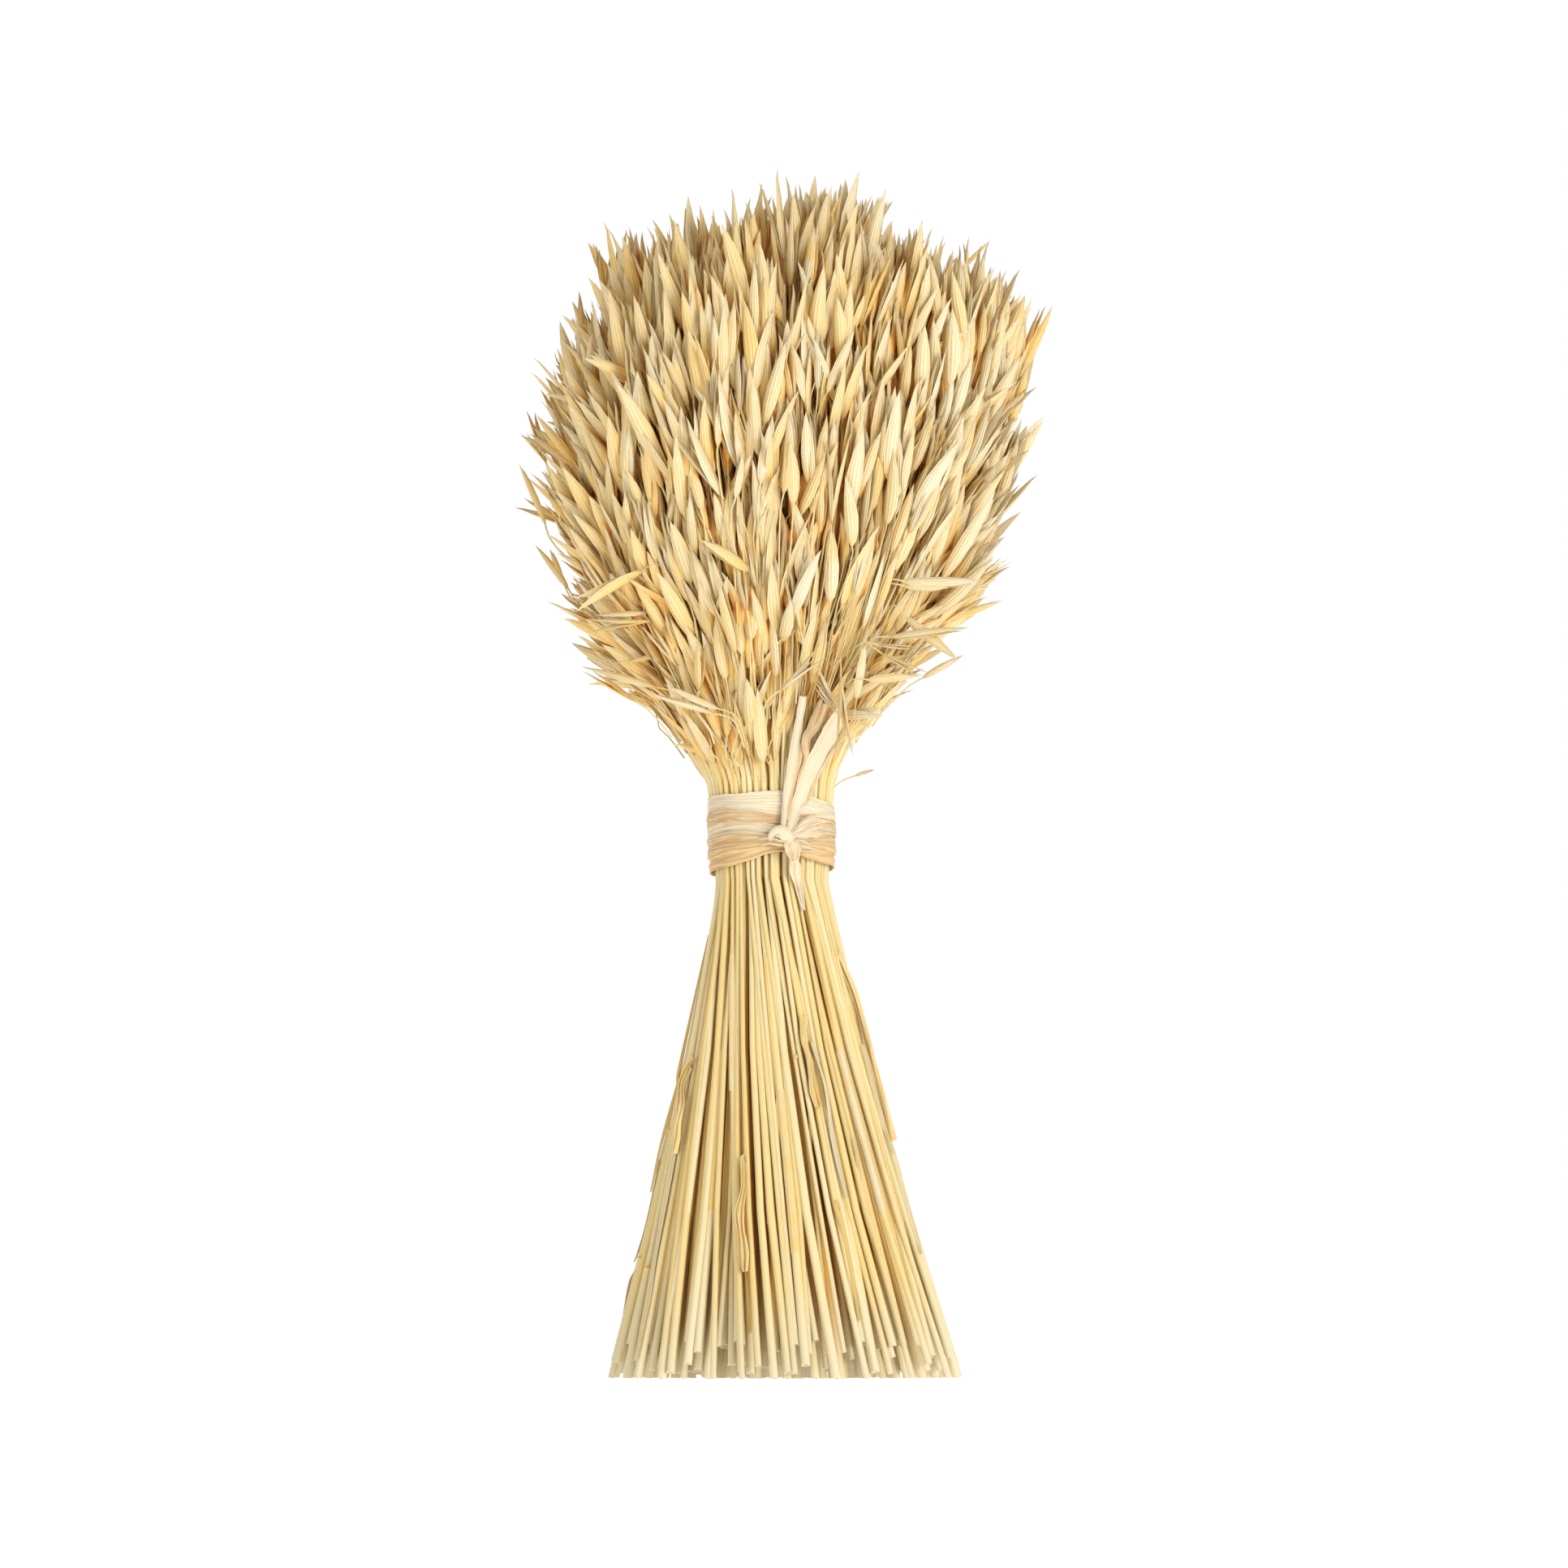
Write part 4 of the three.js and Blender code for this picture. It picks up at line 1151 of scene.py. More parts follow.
def add_hair(piece, shapes, sizes, bunch, draw):
    """A loose hair-thin stalk that wanders down over the head"""
    angle = between(draw, bunch["from"], bunch["to"])
    z = between(draw, *HAIR_HEIGHTS)
    point = sheaf_point(value_at(HEAD_PROFILE, z) * between(draw, *HAIR_SHARES), angle, z)
    down = (Vector((axis_shift(200), 0, 190)) - point).normalized()
    length = between(draw, *HAIR_LENGTHS)
    points = [point]
    for _ in range(4):
        point = point + down * (length / 4) + Vector((spread(draw, 3), spread(draw, 3), spread(draw, 2)))
        points.append(point)
    radius = sizes.pedicel / MM / 2 * HAIR_FINENESS
    piece.bend(shapes["pedicel"], curve_through(points, 5), [radius] * 6, between(draw, *HAIR_TONES))


def add_fan(piece, shapes, bunch, draw):
    """Bare stalks between the tie and the head"""
    last = len(FAN_TAPER) - 1
    for i in range(FAN_STALKS):
        share = (i + 0.5 + spread(draw, FAN_SPREAD)) / FAN_STALKS
        angle = bunch["from"] + (bunch["to"] - bunch["from"]) * share
        out = between(draw, *FAN_SHARES)
        end = between(draw, *FAN_ENDS)
        heights = [FAN_START + (end - FAN_START) * k / last for k in range(last + 1)]
        turn = spread(draw, FAN_TURN)
        points = [
            sheaf_point(value_at(FAN_PROFILE, z) * out, angle + turn * k / last, z)
            for k, z in enumerate(heights)
        ]
        radius = between(draw, *FAN_RADII)
        radii = [radius * taper for taper in FAN_TAPER]
        piece.bend(shapes["stalk"], points, radii, between(draw, *FAN_TONES))


def add_spray(piece, shapes, bunch, z, elevation, draw):
    """A twig that reaches past the head, with a spikelet straight on and two beside it"""
    angle = middle_angle(bunch)
    direction = direction_of(elevation, angle)
    root = sheaf_point(value_at(HEAD_PROFILE, z), angle, z) - direction * 4
    end = root + direction * SPRAY_LENGTH
    points = curve_through([root - direction * 10, root, end], 5)
    piece.bend(shapes["pedicel"], points, SPRAY_TAPER, 0.5)
    drooping = direction.copy()
    drooping.z -= math.sin(math.radians(SPRAY_DROOP))
    turned = Matrix.Rotation(SPRAY_TURN, 3, "Z") @ direction
    for way in (direction, drooping.normalized(), turned):
        upright = (way + Vector((0, 0, between(draw, *SPRAY_LIFTS)))).normalized()
        place = held_in(end, upright * SPRAY_SPIKELET)
        add_spikelet(piece, shapes, place, upright, between(draw, *SPRAY_TONES), draw, 0.9, 0.85)


def make_outer_bunch(sizes, shapes, materials, bunch, clear_of):
    draw = random_source(bunch["seed"] + DETAIL_SEED)
    piece = Piece()
    stems = [add_stem(piece, shapes, sizes, bunch, stem, draw) for stem in source_stems(bunch)]
    stems += [add_stem(piece, shapes, sizes, bunch, stem, draw) for stem in fine_stems(draw)]
    for _ in range(sizes.sheaths):
        points, radii = stems[int(draw() * len(stems))]
        add_sheath(piece, shapes, points, radii, draw)
    for _ in range(LEAF_STRIPS):
        points, radii = stems[int(draw() * len(stems))]
        add_leaf_strip(piece, points, draw)
    for leaf in LEAVES:
        if leaf[0] == bunch["number"]:
            add_leaf(piece, leaf, bunch, draw)
    add_fan(piece, shapes, bunch, draw)
    for number, z, elevation in SPRAYS:
        if number == bunch["number"]:
            add_spray(piece, shapes, bunch, z, elevation, draw)
    add_head(piece, shapes, sizes, bunch, clear_of, draw)
    for _ in range(HAIRS):
        add_hair(piece, shapes, sizes, bunch, draw)
    return piece.finish("oats_" + bunch["name"], materials, [bunch["name"]])


def make_inner_bunch(sizes, shapes, materials, bunch):
    draw = random_source(bunch["seed"] + DETAIL_SEED)
    piece = Piece()
    for stem in source_stems(bunch):
        add_stem(piece, shapes, sizes, bunch, stem, draw)
    add_head(piece, shapes, sizes, bunch, [], draw)
    return piece.finish("oats_" + bunch["name"], materials, [bunch["name"]])


def make_heart(materials):
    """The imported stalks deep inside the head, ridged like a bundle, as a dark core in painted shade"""
    mesh = lance([(0, 0), *((share, 1) for share in (0, 0.2, 0.4, 0.6, 0.8, 1)), (1, 0)], HEART_SIDES)
    low, high = HEART_HEIGHTS
    for vert in mesh.verts:
        x, y, share = vert.co
        z = low + (high - low) * share
        angle = math.degrees(math.atan2(y, x))
        ridge = 1 + HEART_RIDGE * math.cos(math.radians(angle * HEART_SIDES / 2))
        share_out = HEART_SHARES[0] if z < HEART_NECK else HEART_SHARES[1]
        out = math.hypot(x, y) * value_at(HEAD_PROFILE, z) * share_out * ridge
        vert.co = sheaf_point(out, angle, z)
    piece = Piece()
    piece.add(stored(mesh, "heart", SHADE), HEART_TONE)
    return piece.finish("oats_packed_heart", materials)


def leaning(lean, forward):
    """The direction that leans this far to the right of upright, in degrees, and forward"""
    turn = math.radians(lean)
    return Vector((math.sin(turn), forward, math.cos(turn))).normalized()


def add_stray(piece, shapes, sizes, stray, slim, draw):
    """A spikelet where the photo shows it, on a stalk that comes out of the head"""
    x, z, reach, lean, length, tone = stray
    root = seen_at(x, z, reach)
    direction = leaning(lean, STRAY_FORWARD if reach else spread(draw, 0.2))
    add_spikelet(piece, shapes, root, direction, tone, draw, length * MM / sizes.spikelet_length, slim)
    back = root - direction * 7
    inside = back - outward_at(root) * 9 - Vector((0, 0, 9))
    points = curve_through([root + direction, back, inside], 5)
    piece.bend(shapes["pedicel"], points, STRAY_TAPER, 0.6)


def make_strays(sizes, shapes, materials):
    """The spikelets that stand out one by one, and the stalk bent over at the top"""
    draw = random_source(SEED + DETAIL_SEED)
    piece = Piece()
    for strays, slim in ((STRAYS, STRAY_SLIM), (CROWN_SPIKELETS, CROWN_SLIM)):
        for stray in strays:
            add_stray(piece, shapes, sizes, stray, slim, draw)
    bent = curve_through([Vector(point) for point in BENT_STALK], 7)
    piece.bend(shapes["stalk"], bent, BENT_TAPER, 0.25)
    for x, z, lean, length, tone in TWIG_HUSKS:
        scale = length * MM / sizes.spikelet_length
        add_spikelet(piece, shapes, Vector((x, -7, z)), leaning(lean, -0.1), tone, draw, scale, 0.8)
    return piece.finish("oats_strays", materials)


def closed_share(tree, point):
    """The share of the ways towards the open that neighbours close off, which sets the painted shade"""
    outward = outward_at(point)
    azimuth = math.degrees(math.atan2(outward.y, outward.x))
    closed = 0
    for turn, elevation in OPEN_WAYS:
        way = direction_of(elevation, azimuth + turn)
        closed += tree.ray_cast(point + way * OPEN_START, way, OPEN_REACH)[0] is not None
    return (closed / len(OPEN_WAYS)) ** 1.5


def paint_shade_in_depths(pieces):
    """Paints shade: lowers each vertex's tone by how deep it lies among the stalks, so hollows come out
    darker and browner
    """
    to_sheaf = sheaf_place().inverted()
    points, faces = [], []
    for piece in pieces:
        start = len(points)
        points.extend(to_sheaf @ vertex.co for vertex in piece.data.vertices)
        faces.extend([start + i for i in face.vertices] for face in piece.data.polygons)
    tree = BVHTree.FromPolygons(points, faces)
    start = 0
    for piece in pieces:
        data = piece.data.attributes["tone"].data
        tones = [0.0] * len(data)
        data.foreach_get("value", tones)
        own = points[start:start + len(tones)]
        buried = [closed_share(tree, point) * value_at(PALE_FOOT, point.z) for point in own]
        # Painted shade: the tone drops by the closed share, less near the foot
        data.foreach_set("value", [tone - PAINTED_SHADE_TONE * share for tone, share in zip(tones, buried)])
        start += len(tones)


# The raffia tie

def around(levels, degrees):
    """A value that goes smoothly through its levels round the waist, and pinches to its front one"""
    right, back, left, front = levels
    plain_front = (right + left) / 2
    corners = [right, back, left, plain_front, right]
    place = degrees % 360 / 90
    k = int(place)
    ease = (1 - math.cos(math.pi * (place - k))) / 2
    value = corners[k] + (corners[k + 1] - corners[k]) * ease
    away = (degrees - KNOT_ANGLE + 180) % 360 - 180
    return value + (front - plain_front) * math.exp(-(away / KNOT_PINCH) ** 2)


def add_band(piece, strand, draw):
    """One strand of raffia wound flat round the waist"""
    radius, middles, widths, pleat, tone = strand
    mesh = turned_mesh([(i / BAND_ACROSS - 0.5, 1) for i in range(BAND_ACROSS + 1)], BAND_STEPS)
    bmesh.ops.recalc_face_normals(mesh, faces=mesh.faces[:])
    unwrap(mesh)
    layer = mesh.loops.layers.uv["Grain"]
    for face in mesh.faces:
        for loop in face.loops:
            round_share, across = loop[layer].uv
            loop[layer].uv = (across + 0.5, round_share * GRAIN_REPEATS)
    phase = draw() * math.tau
    for vert in mesh.verts:
        x, y, across = vert.co
        angle = math.degrees(math.atan2(y, x))
        crease = noise.noise(Vector((across * 4.2 + phase, x * 1.4, y * 1.4)))
        edge = noise.noise(Vector((x * 5, y * 5, phase + math.copysign(3, across))))
        z = around(middles, angle) + across * around(widths, angle) * (1 + 0.1 * edge)
        fold = math.sin(math.tau * STRAND_FOLDS * (across + 0.35 * crease) + phase)
        vert.co = sheaf_point(radius + pleat * (0.55 * fold + crease), angle, z)
    bmesh.ops.solidify(mesh, geom=mesh.faces[:], thickness=STRAND_THICKNESS)
    bmesh.ops.recalc_face_normals(mesh, faces=mesh.faces[:])
    piece.add(stored(mesh, "band"), tone)


def make_bands(raffia):
    draw = random_source(SEED)
    for name, (slot, strands) in BANDS.items():
        piece = Piece()
        for strand in strands:
            add_band(piece, strand, draw)
        piece.finish("oats_" + name, [raffia[slot]], [name])


def add_raffia_strip(piece, tone, pleats, widths, route, steps):
    """A strip of raffia with creases and edges that are not quite straight"""
    waver, waver_size = STRIP_WAVER
    path = curve_through([front_point(*point) for point in route], steps)
    wavering = [
        width * (1 + waver * noise.noise(point / waver_size))
        for width, point in zip(widths_along(widths, steps), path)
    ]
    piece.strip(path, wavering, tone, STRIP_THICKNESS, pleats, 0.5, across=10)


def make_strips(raffia, name, slot, strips, replaced=(), steps=TAIL_STEPS):
    """A piece of one or more strips"""
    piece = Piece()
    for tone, pleats, widths, route in strips:
        add_raffia_strip(piece, tone, pleats, widths, route, steps)
    piece.finish(name, [raffia[slot]], replaced)


def make_tails(raffia):
    for name, (slot, *strip) in TAILS.items():
        make_strips(raffia, "oats_" + name, slot, [strip], [name])
    make_strips(raffia, "oats_raffia_loose_ends", "raffia_tan", LOOSE_STRIPS)


def make_knot(raffia):
    make_strips(raffia, "oats_raffia_knot", "raffia_tan", KNOT_STRIPS, ["raffia_knot"], KNOT_STEPS)


# Materials

def add_node(tree, kind, inputs=None, **settings):
    """A node with its settings, and its inputs set or linked by name or number"""
    node = tree.nodes.new(kind)
    for name, value in settings.items():
        setattr(node, name, value)
    for name, value in (inputs or {}).items():
        if isinstance(value, bpy.types.NodeSocket):
            tree.links.new(value, node.inputs[name])
        else:
            node.inputs[name].default_value = value
    return node


def add_math(tree, operation, first, second=0.0):
    return add_node(tree, "ShaderNodeMath", {0: first, 1: second}, operation=operation).outputs[0]


def add_mix(tree, factor, first, second, blend="MIX"):
    """A mix of two colours"""
    node = add_node(
        tree, "ShaderNodeMix", {0: factor, 6: first, 7: second}, data_type="RGBA", blend_type=blend)
    return node.outputs[2]


def map_range(tree, value, low, high, start, end):
    inputs = {"Value": value, "From Min": low, "From Max": high, "To Min": start, "To Max": end}
    return add_node(tree, "ShaderNodeMapRange", inputs).outputs["Result"]


def fibre_group():
    """Fine ribs and streaks that run along a fibre, from its grain map"""
    group = bpy.data.node_groups.get("Fibre grain")
    if group:
        return group
    group = bpy.data.node_groups.new("Fibre grain", "ShaderNodeTree")
    group.interface.new_socket("Vector", in_out="INPUT", socket_type="NodeSocketVector")
    for name in ("Ribs", "Stretch", "Wander"):
        group.interface.new_socket(name, in_out="INPUT", socket_type="NodeSocketFloat")
    for name in ("Rib", "Streak"):
        group.interface.new_socket(name, in_out="OUTPUT", socket_type="NodeSocketFloat")
    given = group.nodes.new("NodeGroupInput")
    split = add_node(group, "ShaderNodeSeparateXYZ", {"Vector": given.outputs["Vector"]})
    across = add_math(group, "MULTIPLY", split.outputs["X"], given.outputs["Ribs"])
    along = add_math(group, "MULTIPLY", split.outputs["Y"], given.outputs["Stretch"])
    place = add_node(group, "ShaderNodeCombineXYZ", {"X": across, "Y": along})
    streak = add_node(
        group, "ShaderNodeTexNoise", {"Vector": place.outputs[0], "Scale": 1.0, "Detail": 2.0}).outputs[0]
    centred = add_math(group, "SUBTRACT", streak, 0.5)
    wander = add_math(group, "MULTIPLY", centred, given.outputs["Wander"])
    angle = add_math(group, "MULTIPLY", add_math(group, "ADD", across, wander), math.tau)
    rib = map_range(group, add_math(group, "SINE", angle), -1, 1, 0, 1)
    taken = group.nodes.new("NodeGroupOutput")
    group.links.new(rib, taken.inputs["Rib"])
    group.links.new(streak, taken.inputs["Streak"])
    return group


def start_material(name, ribs, stretch, wander):
    """A material with its grain, tone and soft mottle: the tree, its shader and those values"""
    material = bpy.data.materials.new(name)
    material.use_nodes = True
    tree = material.node_tree
    tree.nodes.clear()
    shader = add_node(tree, "ShaderNodeBsdfPrincipled")
    add_node(tree, "ShaderNodeOutputMaterial", {"Surface": shader.outputs[0]})
    grain_map = add_node(tree, "ShaderNodeUVMap", uv_map="Grain")
    grain = tree.nodes.new("ShaderNodeGroup")
    grain.node_tree = fibre_group()
    tree.links.new(grain_map.outputs[0], grain.inputs["Vector"])
    grain.inputs["Ribs"].default_value = ribs
    grain.inputs["Stretch"].default_value = stretch
    grain.inputs["Wander"].default_value = wander
    along = add_node(tree, "ShaderNodeSeparateXYZ", {"Vector": grain_map.outputs[0]}).outputs["Y"]
    tone = add_node(tree, "ShaderNodeAttribute", attribute_name="tone").outputs["Fac"]
    place = add_node(tree, "ShaderNodeTexCoord").outputs["Object"]
    inputs = {"Vector": place, "Scale": MOTTLE_SCALE, "Detail": 3.0}
    mottle = add_node(tree, "ShaderNodeTexNoise", inputs).outputs[0]
    return material, tree, shader, {
        "rib": grain.outputs["Rib"], "streak": grain.outputs["Streak"], "along": along,
        "tone": tone, "mottle": mottle,
    }


def tone_ramp(tree, value, colours):
    """The colours in even steps of the value"""
    ramp = add_node(tree, "ShaderNodeValToRGB", {"Fac": value})
    stops = ramp.color_ramp.elements
    while len(stops) < len(colours):
        stops.new(1)
    for i, (stop, colour) in enumerate(zip(stops, colours)):
        stop.position = i / (len(colours) - 1)
        stop.color = (*colour, 1)
    return ramp.outputs["Color"]


def varied_tone(tree, values, mottle, streak):
    """A piece's own tone, moved by its mottle and its streaks"""
    first = add_math(tree, "MULTIPLY", add_math(tree, "SUBTRACT", values["mottle"], 0.5), mottle)
    second = add_math(tree, "MULTIPLY", add_math(tree, "SUBTRACT", values["streak"], 0.5), streak)
    return add_math(tree, "ADD", add_math(tree, "ADD", values["tone"], first), second)


def paint_groove_shade(tree, values, colour, width, depth, groove_colour):
    """Painted shade in the grooves: the colour, multiplied by another one between the ribs, which also draws
    the fibres' fine dark lines
    """
    groove = map_range(tree, values["rib"], 0.0, width, depth, 0.0)
    return add_mix(tree, groove, colour, (*groove_colour, 1), "MULTIPLY")


def finish_shader(tree, shader, colour, mask, roughness, height, distance):
    """Sets the colour, the roughness that follows a mask, and the relief"""
    tree.links.new(colour, shader.inputs["Base Color"])
    low, high = roughness
    tree.links.new(map_range(tree, mask, 0.3, 0.7, low, high), shader.inputs["Roughness"])
    inputs = {"Height": height, "Distance": distance, "Strength": RELIEF_STRENGTH}
    bump = add_node(tree, "ShaderNodeBump", inputs)
    tree.links.new(bump.outputs["Normal"], shader.inputs["Normal"])


def husk_material(colours):
    material, tree, shader, values = start_material("oat_husk", 11.0, 2.2, 0.4)
    tone = varied_tone(tree, values, 0.5, 0.5)
    # The ramp's deep and brown stops are mostly painted shade, reached where the tone is lowered in the
    # depths
    colour = tone_ramp(tree, map_range(tree, tone, FULL_SHADE_TONE, 1, 0, 1), [
        colours.husk_painted_shade, colours.husk_brown, colours.husk_gold, colours.husk_cream, colours.husk_pale])
    tip = map_range(tree, values["along"], 0.55, 1.0, 0.0, 0.32)
    colour = add_mix(tree, tip, colour, (*colours.husk_pale, 1))
    base = map_range(tree, values["along"], 0.16, 0.0, 0.0, 0.55)
    colour = add_mix(tree, base, colour, (*colours.husk_gold, 1))
    colour = paint_groove_shade(tree, values, colour, 0.5, 0.8, (0.84, 0.68, 0.46))
    finish_shader(tree, shader, colour, values["streak"], (0.5, 0.68), values["rib"], 0.00022)
    return material


def straw_material(colours):
    material, tree, shader, values = start_material("oat_straw", 15.0, 1.2, 0.9)
    tone = varied_tone(tree, values, 0.35, 0.45)
    # The ramp's lowest stop is the joints' own colour and painted shade in the depths
    ramp = [colours.straw_joint_and_shade, colours.straw_gold, colours.straw_mid, colours.straw_pale]
    colour = tone_ramp(tree, map_range(tree, tone, FULL_SHADE_TONE, 1, 0, 1), ramp)
    colour = paint_groove_shade(tree, values, colour, 0.4, 0.28, (0.78, 0.66, 0.44))
    # Paler towards the cut end: partly the cut straws' own pale colour, partly painted light that lifts the
    # shade near the floor
    cut = map_range(tree, values["along"], 0.07, 0.0, 0.0, 0.7)
    colour = add_mix(tree, cut, colour, (*colours.husk_pale, 1))
    finish_shader(tree, shader, colour, values["streak"], (0.36, 0.55), values["rib"], 0.00015)
    return material


def leaf_material(colours):
    material, tree, shader, values = start_material("dry_leaf", 12.0, 3.0, 1.2)
    tone = varied_tone(tree, values, 0.6, 0.5)
    colour = tone_ramp(tree, tone, [colours.straw_gold, colours.husk_gold, colours.husk_pale])
    colour = paint_groove_shade(tree, values, colour, 0.5, 0.3, (0.76, 0.60, 0.38))
    finish_shader(tree, shader, colour, values["streak"], (0.55, 0.75), values["rib"], 0.0002)
    return material


def pith_material(colours):
    """The pale broken rim of a cut straw"""
    material, tree, shader, values = start_material("cut_straw", 20.0, 4.0, 1.0)
    mottle = values["mottle"]
    colour = add_mix(tree, mottle, (*colours.straw_pale, 1), (*colours.husk_pale, 1))
    finish_shader(tree, shader, colour, mottle, (0.7, 0.85), mottle, 0.0002)
    return material


# Painted shade: the dark brown of the heart and of the hollows in cut straws, streaked with golden straw
def shade_material(colours):
    material, tree, shader, values = start_material("painted_shade_straw", 60.0, 3.0, 1.0)
    colour = add_mix(tree, values["streak"], (*colours.husk_painted_shade, 1), (*colours.straw_gold, 1))
    finish_shader(tree, shader, colour, values["streak"], (0.7, 0.85), values["rib"], 0.0006)
    return material


def raffia_material(name, dark, pale):
    """Split palm leaf: long fibres, creases and a dull shine"""
    material, tree, shader, values = start_material(name, 9.0, 2.0, 1.2)
    colour = tone_ramp(tree, varied_tone(tree, values, 0.5, 2.2), [dark, pale])
    colour = paint_groove_shade(tree, values, colour, 0.3, 0.45, (0.72, 0.52, 0.32))
    finish_shader(tree, shader, colour, values["streak"], (0.5, 0.7), values["rib"], 0.00018)
    return material


def stalk_materials(colours):
    """In the order of the material places"""
    made = [bpy.data.materials.get(name) for name in STALK_MATERIALS]
    if all(made):
        return made
    makers = (husk_material, straw_material, leaf_material, pith_material, shade_material)
    return [make(colours) for make in makers]


def raffia_materials(colours):
    pairs = {
        "raffia_pale": (colours.raffia_dull, colours.raffia_cream),
        "raffia_tan": (colours.raffia_tan, colours.raffia_cream),
        "raffia_brown": (colours.raffia_tan, colours.raffia_peach),
    }
    return {
        slot: bpy.data.materials.get("fibres_" + slot) or raffia_material("fibres_" + slot, dark, light)
        for slot, (dark, light) in pairs.items()
    }


# The studio

def make_floor(colours):
    mesh = bmesh.new()
    bmesh.ops.create_grid(mesh, x_segments=1, y_segments=1, size=FLOOR_SIZE)
    data = bpy.data.meshes.new("studio_floor")
    mesh.to_mesh(data)
    mesh.free()
    material = bpy.data.materials.new("studio_floor")
    material.use_nodes = True
    shader = material.node_tree.nodes["Principled BSDF"]
    shader.inputs["Base Color"].default_value = (*colours.floor, 1)
    shader.inputs["Roughness"].default_value = FLOOR_ROUGHNESS
    shader.inputs["Emission Color"].default_value = WHITE
    shader.inputs["Emission Strength"].default_value = FLOOR_GLOW
    data.materials.append(material)
    floor = bpy.data.objects.new("studio_floor", data)
    bpy.context.scene.collection.objects.link(floor)


def make_world():
    """White for the camera, and a softer white for the light"""
    world = bpy.data.worlds.new("studio")
    world.use_nodes = True
    tree = world.node_tree
    tree.nodes.clear()
    seen = add_node(tree, "ShaderNodeBackground", {"Color": WHITE, "Strength": 1.0})
    light = add_node(tree, "ShaderNodeBackground", {"Color": WORLD_COLOUR, "Strength": WORLD_STRENGTH})
    path = add_node(tree, "ShaderNodeLightPath")
    inputs = {0: path.outputs["Is Camera Ray"], 1: light.outputs[0], 2: seen.outputs[0]}
    mixed = add_node(tree, "ShaderNodeMixShader", inputs)
    add_node(tree, "ShaderNodeOutputWorld", {"Surface": mixed.outputs[0]})
    bpy.context.scene.world = world


def add_light(name, place, aim, size, power):
    data = bpy.data.lights.new(name, "AREA")
    data.shape = "DISK"
    data.size = size
    data.energy = power
    data.color = LAMP_COLOUR
    light = bpy.data.objects.new(name, data)
    light.matrix_world = looking(Vector(place), aim)
    bpy.context.scene.collection.objects.link(light)


def looking(place, aim):
    """A lamp's or camera's place, looking at the aim with Z up"""
    turn = (aim - place).to_track_quat("-Z", "Y")
    return Matrix.Translation(place) @ turn.to_matrix().to_4x4()


def make_camera(aim):
    data = bpy.data.cameras.new("photo_camera")
    data.lens = LENS
    data.sensor_width = SENSOR
    distance = PHOTO_PIXEL * PHOTO_WIDTH * MM * LENS / SENSOR
    tilt = math.radians(CAMERA_ELEVATION)
    place = aim + Vector((0, -math.cos(tilt), math.sin(tilt))) * distance
    camera = bpy.data.objects.new("photo_camera", data)
    camera.matrix_world = looking(place, aim)
    bpy.context.scene.collection.objects.link(camera)
    bpy.context.scene.camera = camera


# Operators

def make_outer_bunches(sizes, shapes, materials):
    clear_of = tail_points()
    for index in range(OUTER_BUNCHES):
        make_outer_bunch(sizes, shapes, materials, outer_bunch(index), clear_of)


def make_inner_bunches(sizes, shapes, materials):
    for index in range(INNER_BUNCHES):
        make_inner_bunch(sizes, shapes, materials, inner_bunch(index))
    make_heart(materials)


def dress(context, make):
    """Makes pieces of stalks from shapes that are only kept until then"""
    # The tufts' noise would take its seed from the clock
    noise.seed_set(SEED)
    sizes = context.scene.sheaf_sizes
    shapes = make_shapes(sizes)
    make(sizes, shapes, stalk_materials(context.scene.sheaf_colours))
    forget_shapes(shapes)
    return {"FINISHED"}


class SHEAF_OT_outer_stalks(Operator):
    """Dresses the eighteen outer bunches with straws, sheaths, leaves and spikelets"""

    bl_idname = "sheaf.outer_stalks"
    bl_label = "Outer stalks"

    def execute(self, context):
        return dress(context, make_outer_bunches)


class SHEAF_OT_inner_stalks(Operator):
    """Dresses the six inner bunches and packs the heart of the head"""

    bl_idname = "sheaf.inner_stalks"
    bl_label = "Inner stalks"

    def execute(self, context):
        return dress(context, make_inner_bunches)


class SHEAF_OT_strays(Operator):
    """Adds the spikelets that stand out one by one and the bent stalk at the top"""

    bl_idname = "sheaf.strays"
    bl_label = "Stray spikelets"

    def execute(self, context):
        return dress(context, make_strays)


class SHEAF_OT_buried_parts(Operator):
    """Paints shade into the stalks: darker, browner tones where they lie deep in the sheaf"""

    bl_idname = "sheaf.buried_parts"
    bl_label = "Shaded depths"

    def execute(self, context):
        paint_shade_in_depths([piece for piece in context.scene.objects if piece.name.startswith(STALK_NAMES)])
        return {"FINISHED"}


class SHEAF_OT_raffia_bands(Operator):
    """Winds the raffia strands round the waist"""

    bl_idname = "sheaf.raffia_bands"
    bl_label = "Raffia bands"

    def execute(self, context):
        make_bands(raffia_materials(context.scene.sheaf_colours))
        return {"FINISHED"}


class SHEAF_OT_raffia_knot(Operator):
    """Folds the knot and lays out its ends"""

    bl_idname = "sheaf.raffia_knot"
    bl_label = "Raffia knot and ends"

    def execute(self, context):
        raffia = raffia_materials(context.scene.sheaf_colours)
        make_knot(raffia)
        make_tails(raffia)
        return {"FINISHED"}


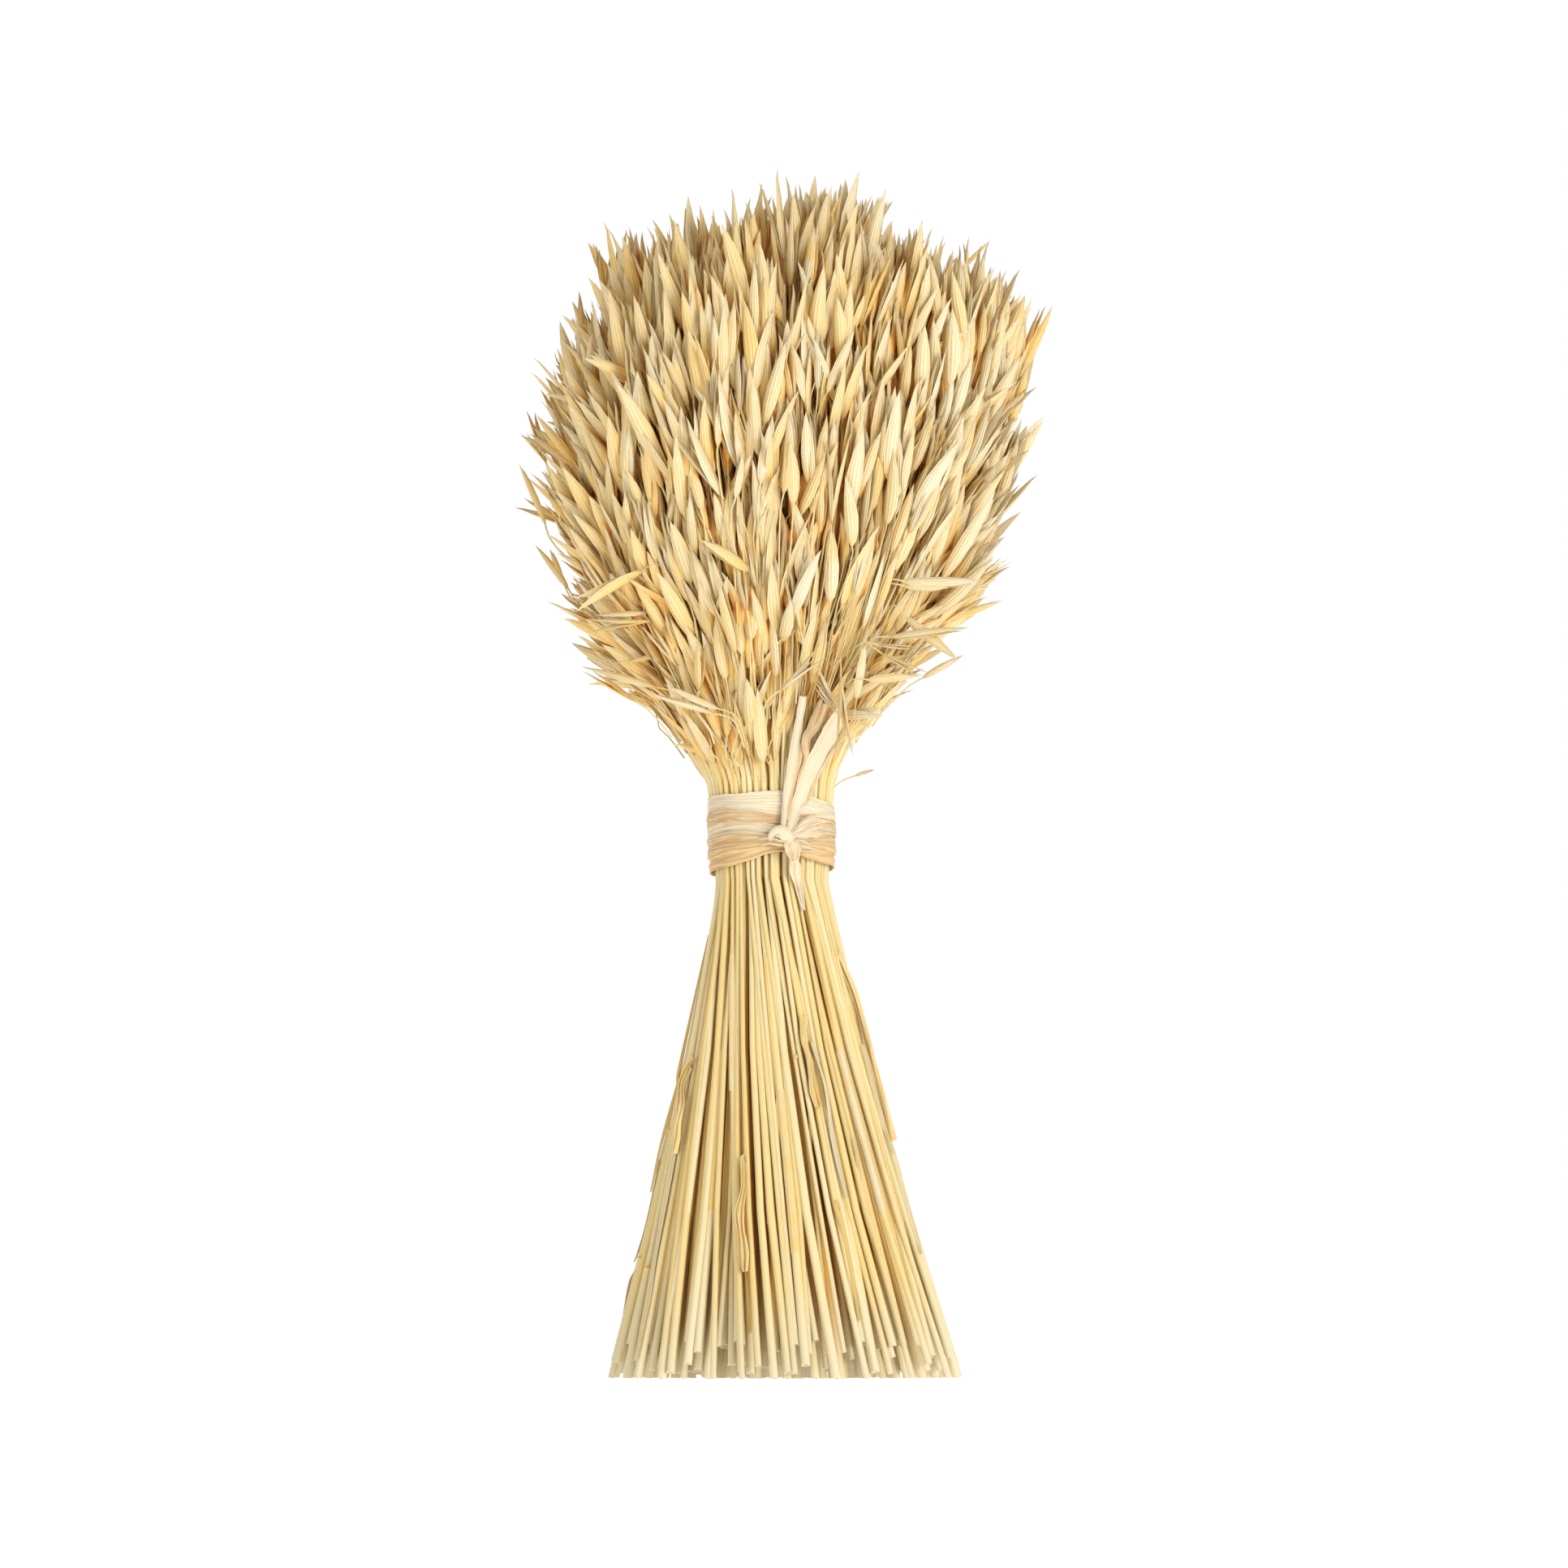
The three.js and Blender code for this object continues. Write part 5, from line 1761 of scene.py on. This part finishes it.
class SHEAF_OT_stage(Operator):
    """Sets up the floor, the soft light and the camera"""

    bl_idname = "sheaf.stage"
    bl_label = "Studio"

    def execute(self, context):
        aim = sheaf_place() @ Vector((0, 0, AIM_HEIGHT))
        make_floor(context.scene.sheaf_colours)
        make_world()
        for name, (place, size, power) in LAMPS.items():
            add_light(name, place, aim, size, power)
        make_camera(aim)
        context.scene.view_settings.view_transform = "Standard"
        return {"FINISHED"}


OPERATORS = (
    SHEAF_OT_outer_stalks, SHEAF_OT_inner_stalks, SHEAF_OT_strays, SHEAF_OT_buried_parts,
    SHEAF_OT_raffia_bands, SHEAF_OT_raffia_knot, SHEAF_OT_stage,
)


class SHEAF_PT_panel(Panel):
    """Lists the steps that dress the sheaf, with its sizes and colours"""

    bl_idname = "SHEAF_PT_panel"
    bl_label = "Dried oat sheaf"
    bl_space_type = "VIEW_3D"
    bl_region_type = "UI"
    bl_category = "Sheaf"

    def draw(self, context):
        for operator in OPERATORS:
            self.layout.operator(operator.bl_idname)
        for settings in (context.scene.sheaf_sizes, context.scene.sheaf_colours):
            box = self.layout.box()
            for name in settings.bl_rna.properties.keys():
                if name not in ("rna_type", "name"):
                    box.prop(settings, name)


CLASSES = (SheafSizes, SheafColours, *OPERATORS, SHEAF_PT_panel)


def register():
    for cls in CLASSES:
        bpy.utils.register_class(cls)
    bpy.types.Scene.sheaf_sizes = PointerProperty(type=SheafSizes)
    bpy.types.Scene.sheaf_colours = PointerProperty(type=SheafColours)


def unregister():
    del bpy.types.Scene.sheaf_sizes
    del bpy.types.Scene.sheaf_colours
    for cls in reversed(CLASSES):
        bpy.utils.unregister_class(cls)


def main():
    register()
    bpy.ops.sheaf.outer_stalks()
    bpy.ops.sheaf.inner_stalks()
    bpy.ops.sheaf.strays()
    # Painted shade in the depths of the sheaf
    bpy.ops.sheaf.buried_parts()
    bpy.ops.sheaf.raffia_bands()
    bpy.ops.sheaf.raffia_knot()
    bpy.ops.sheaf.stage()


if __name__ == "__main__":
    main()
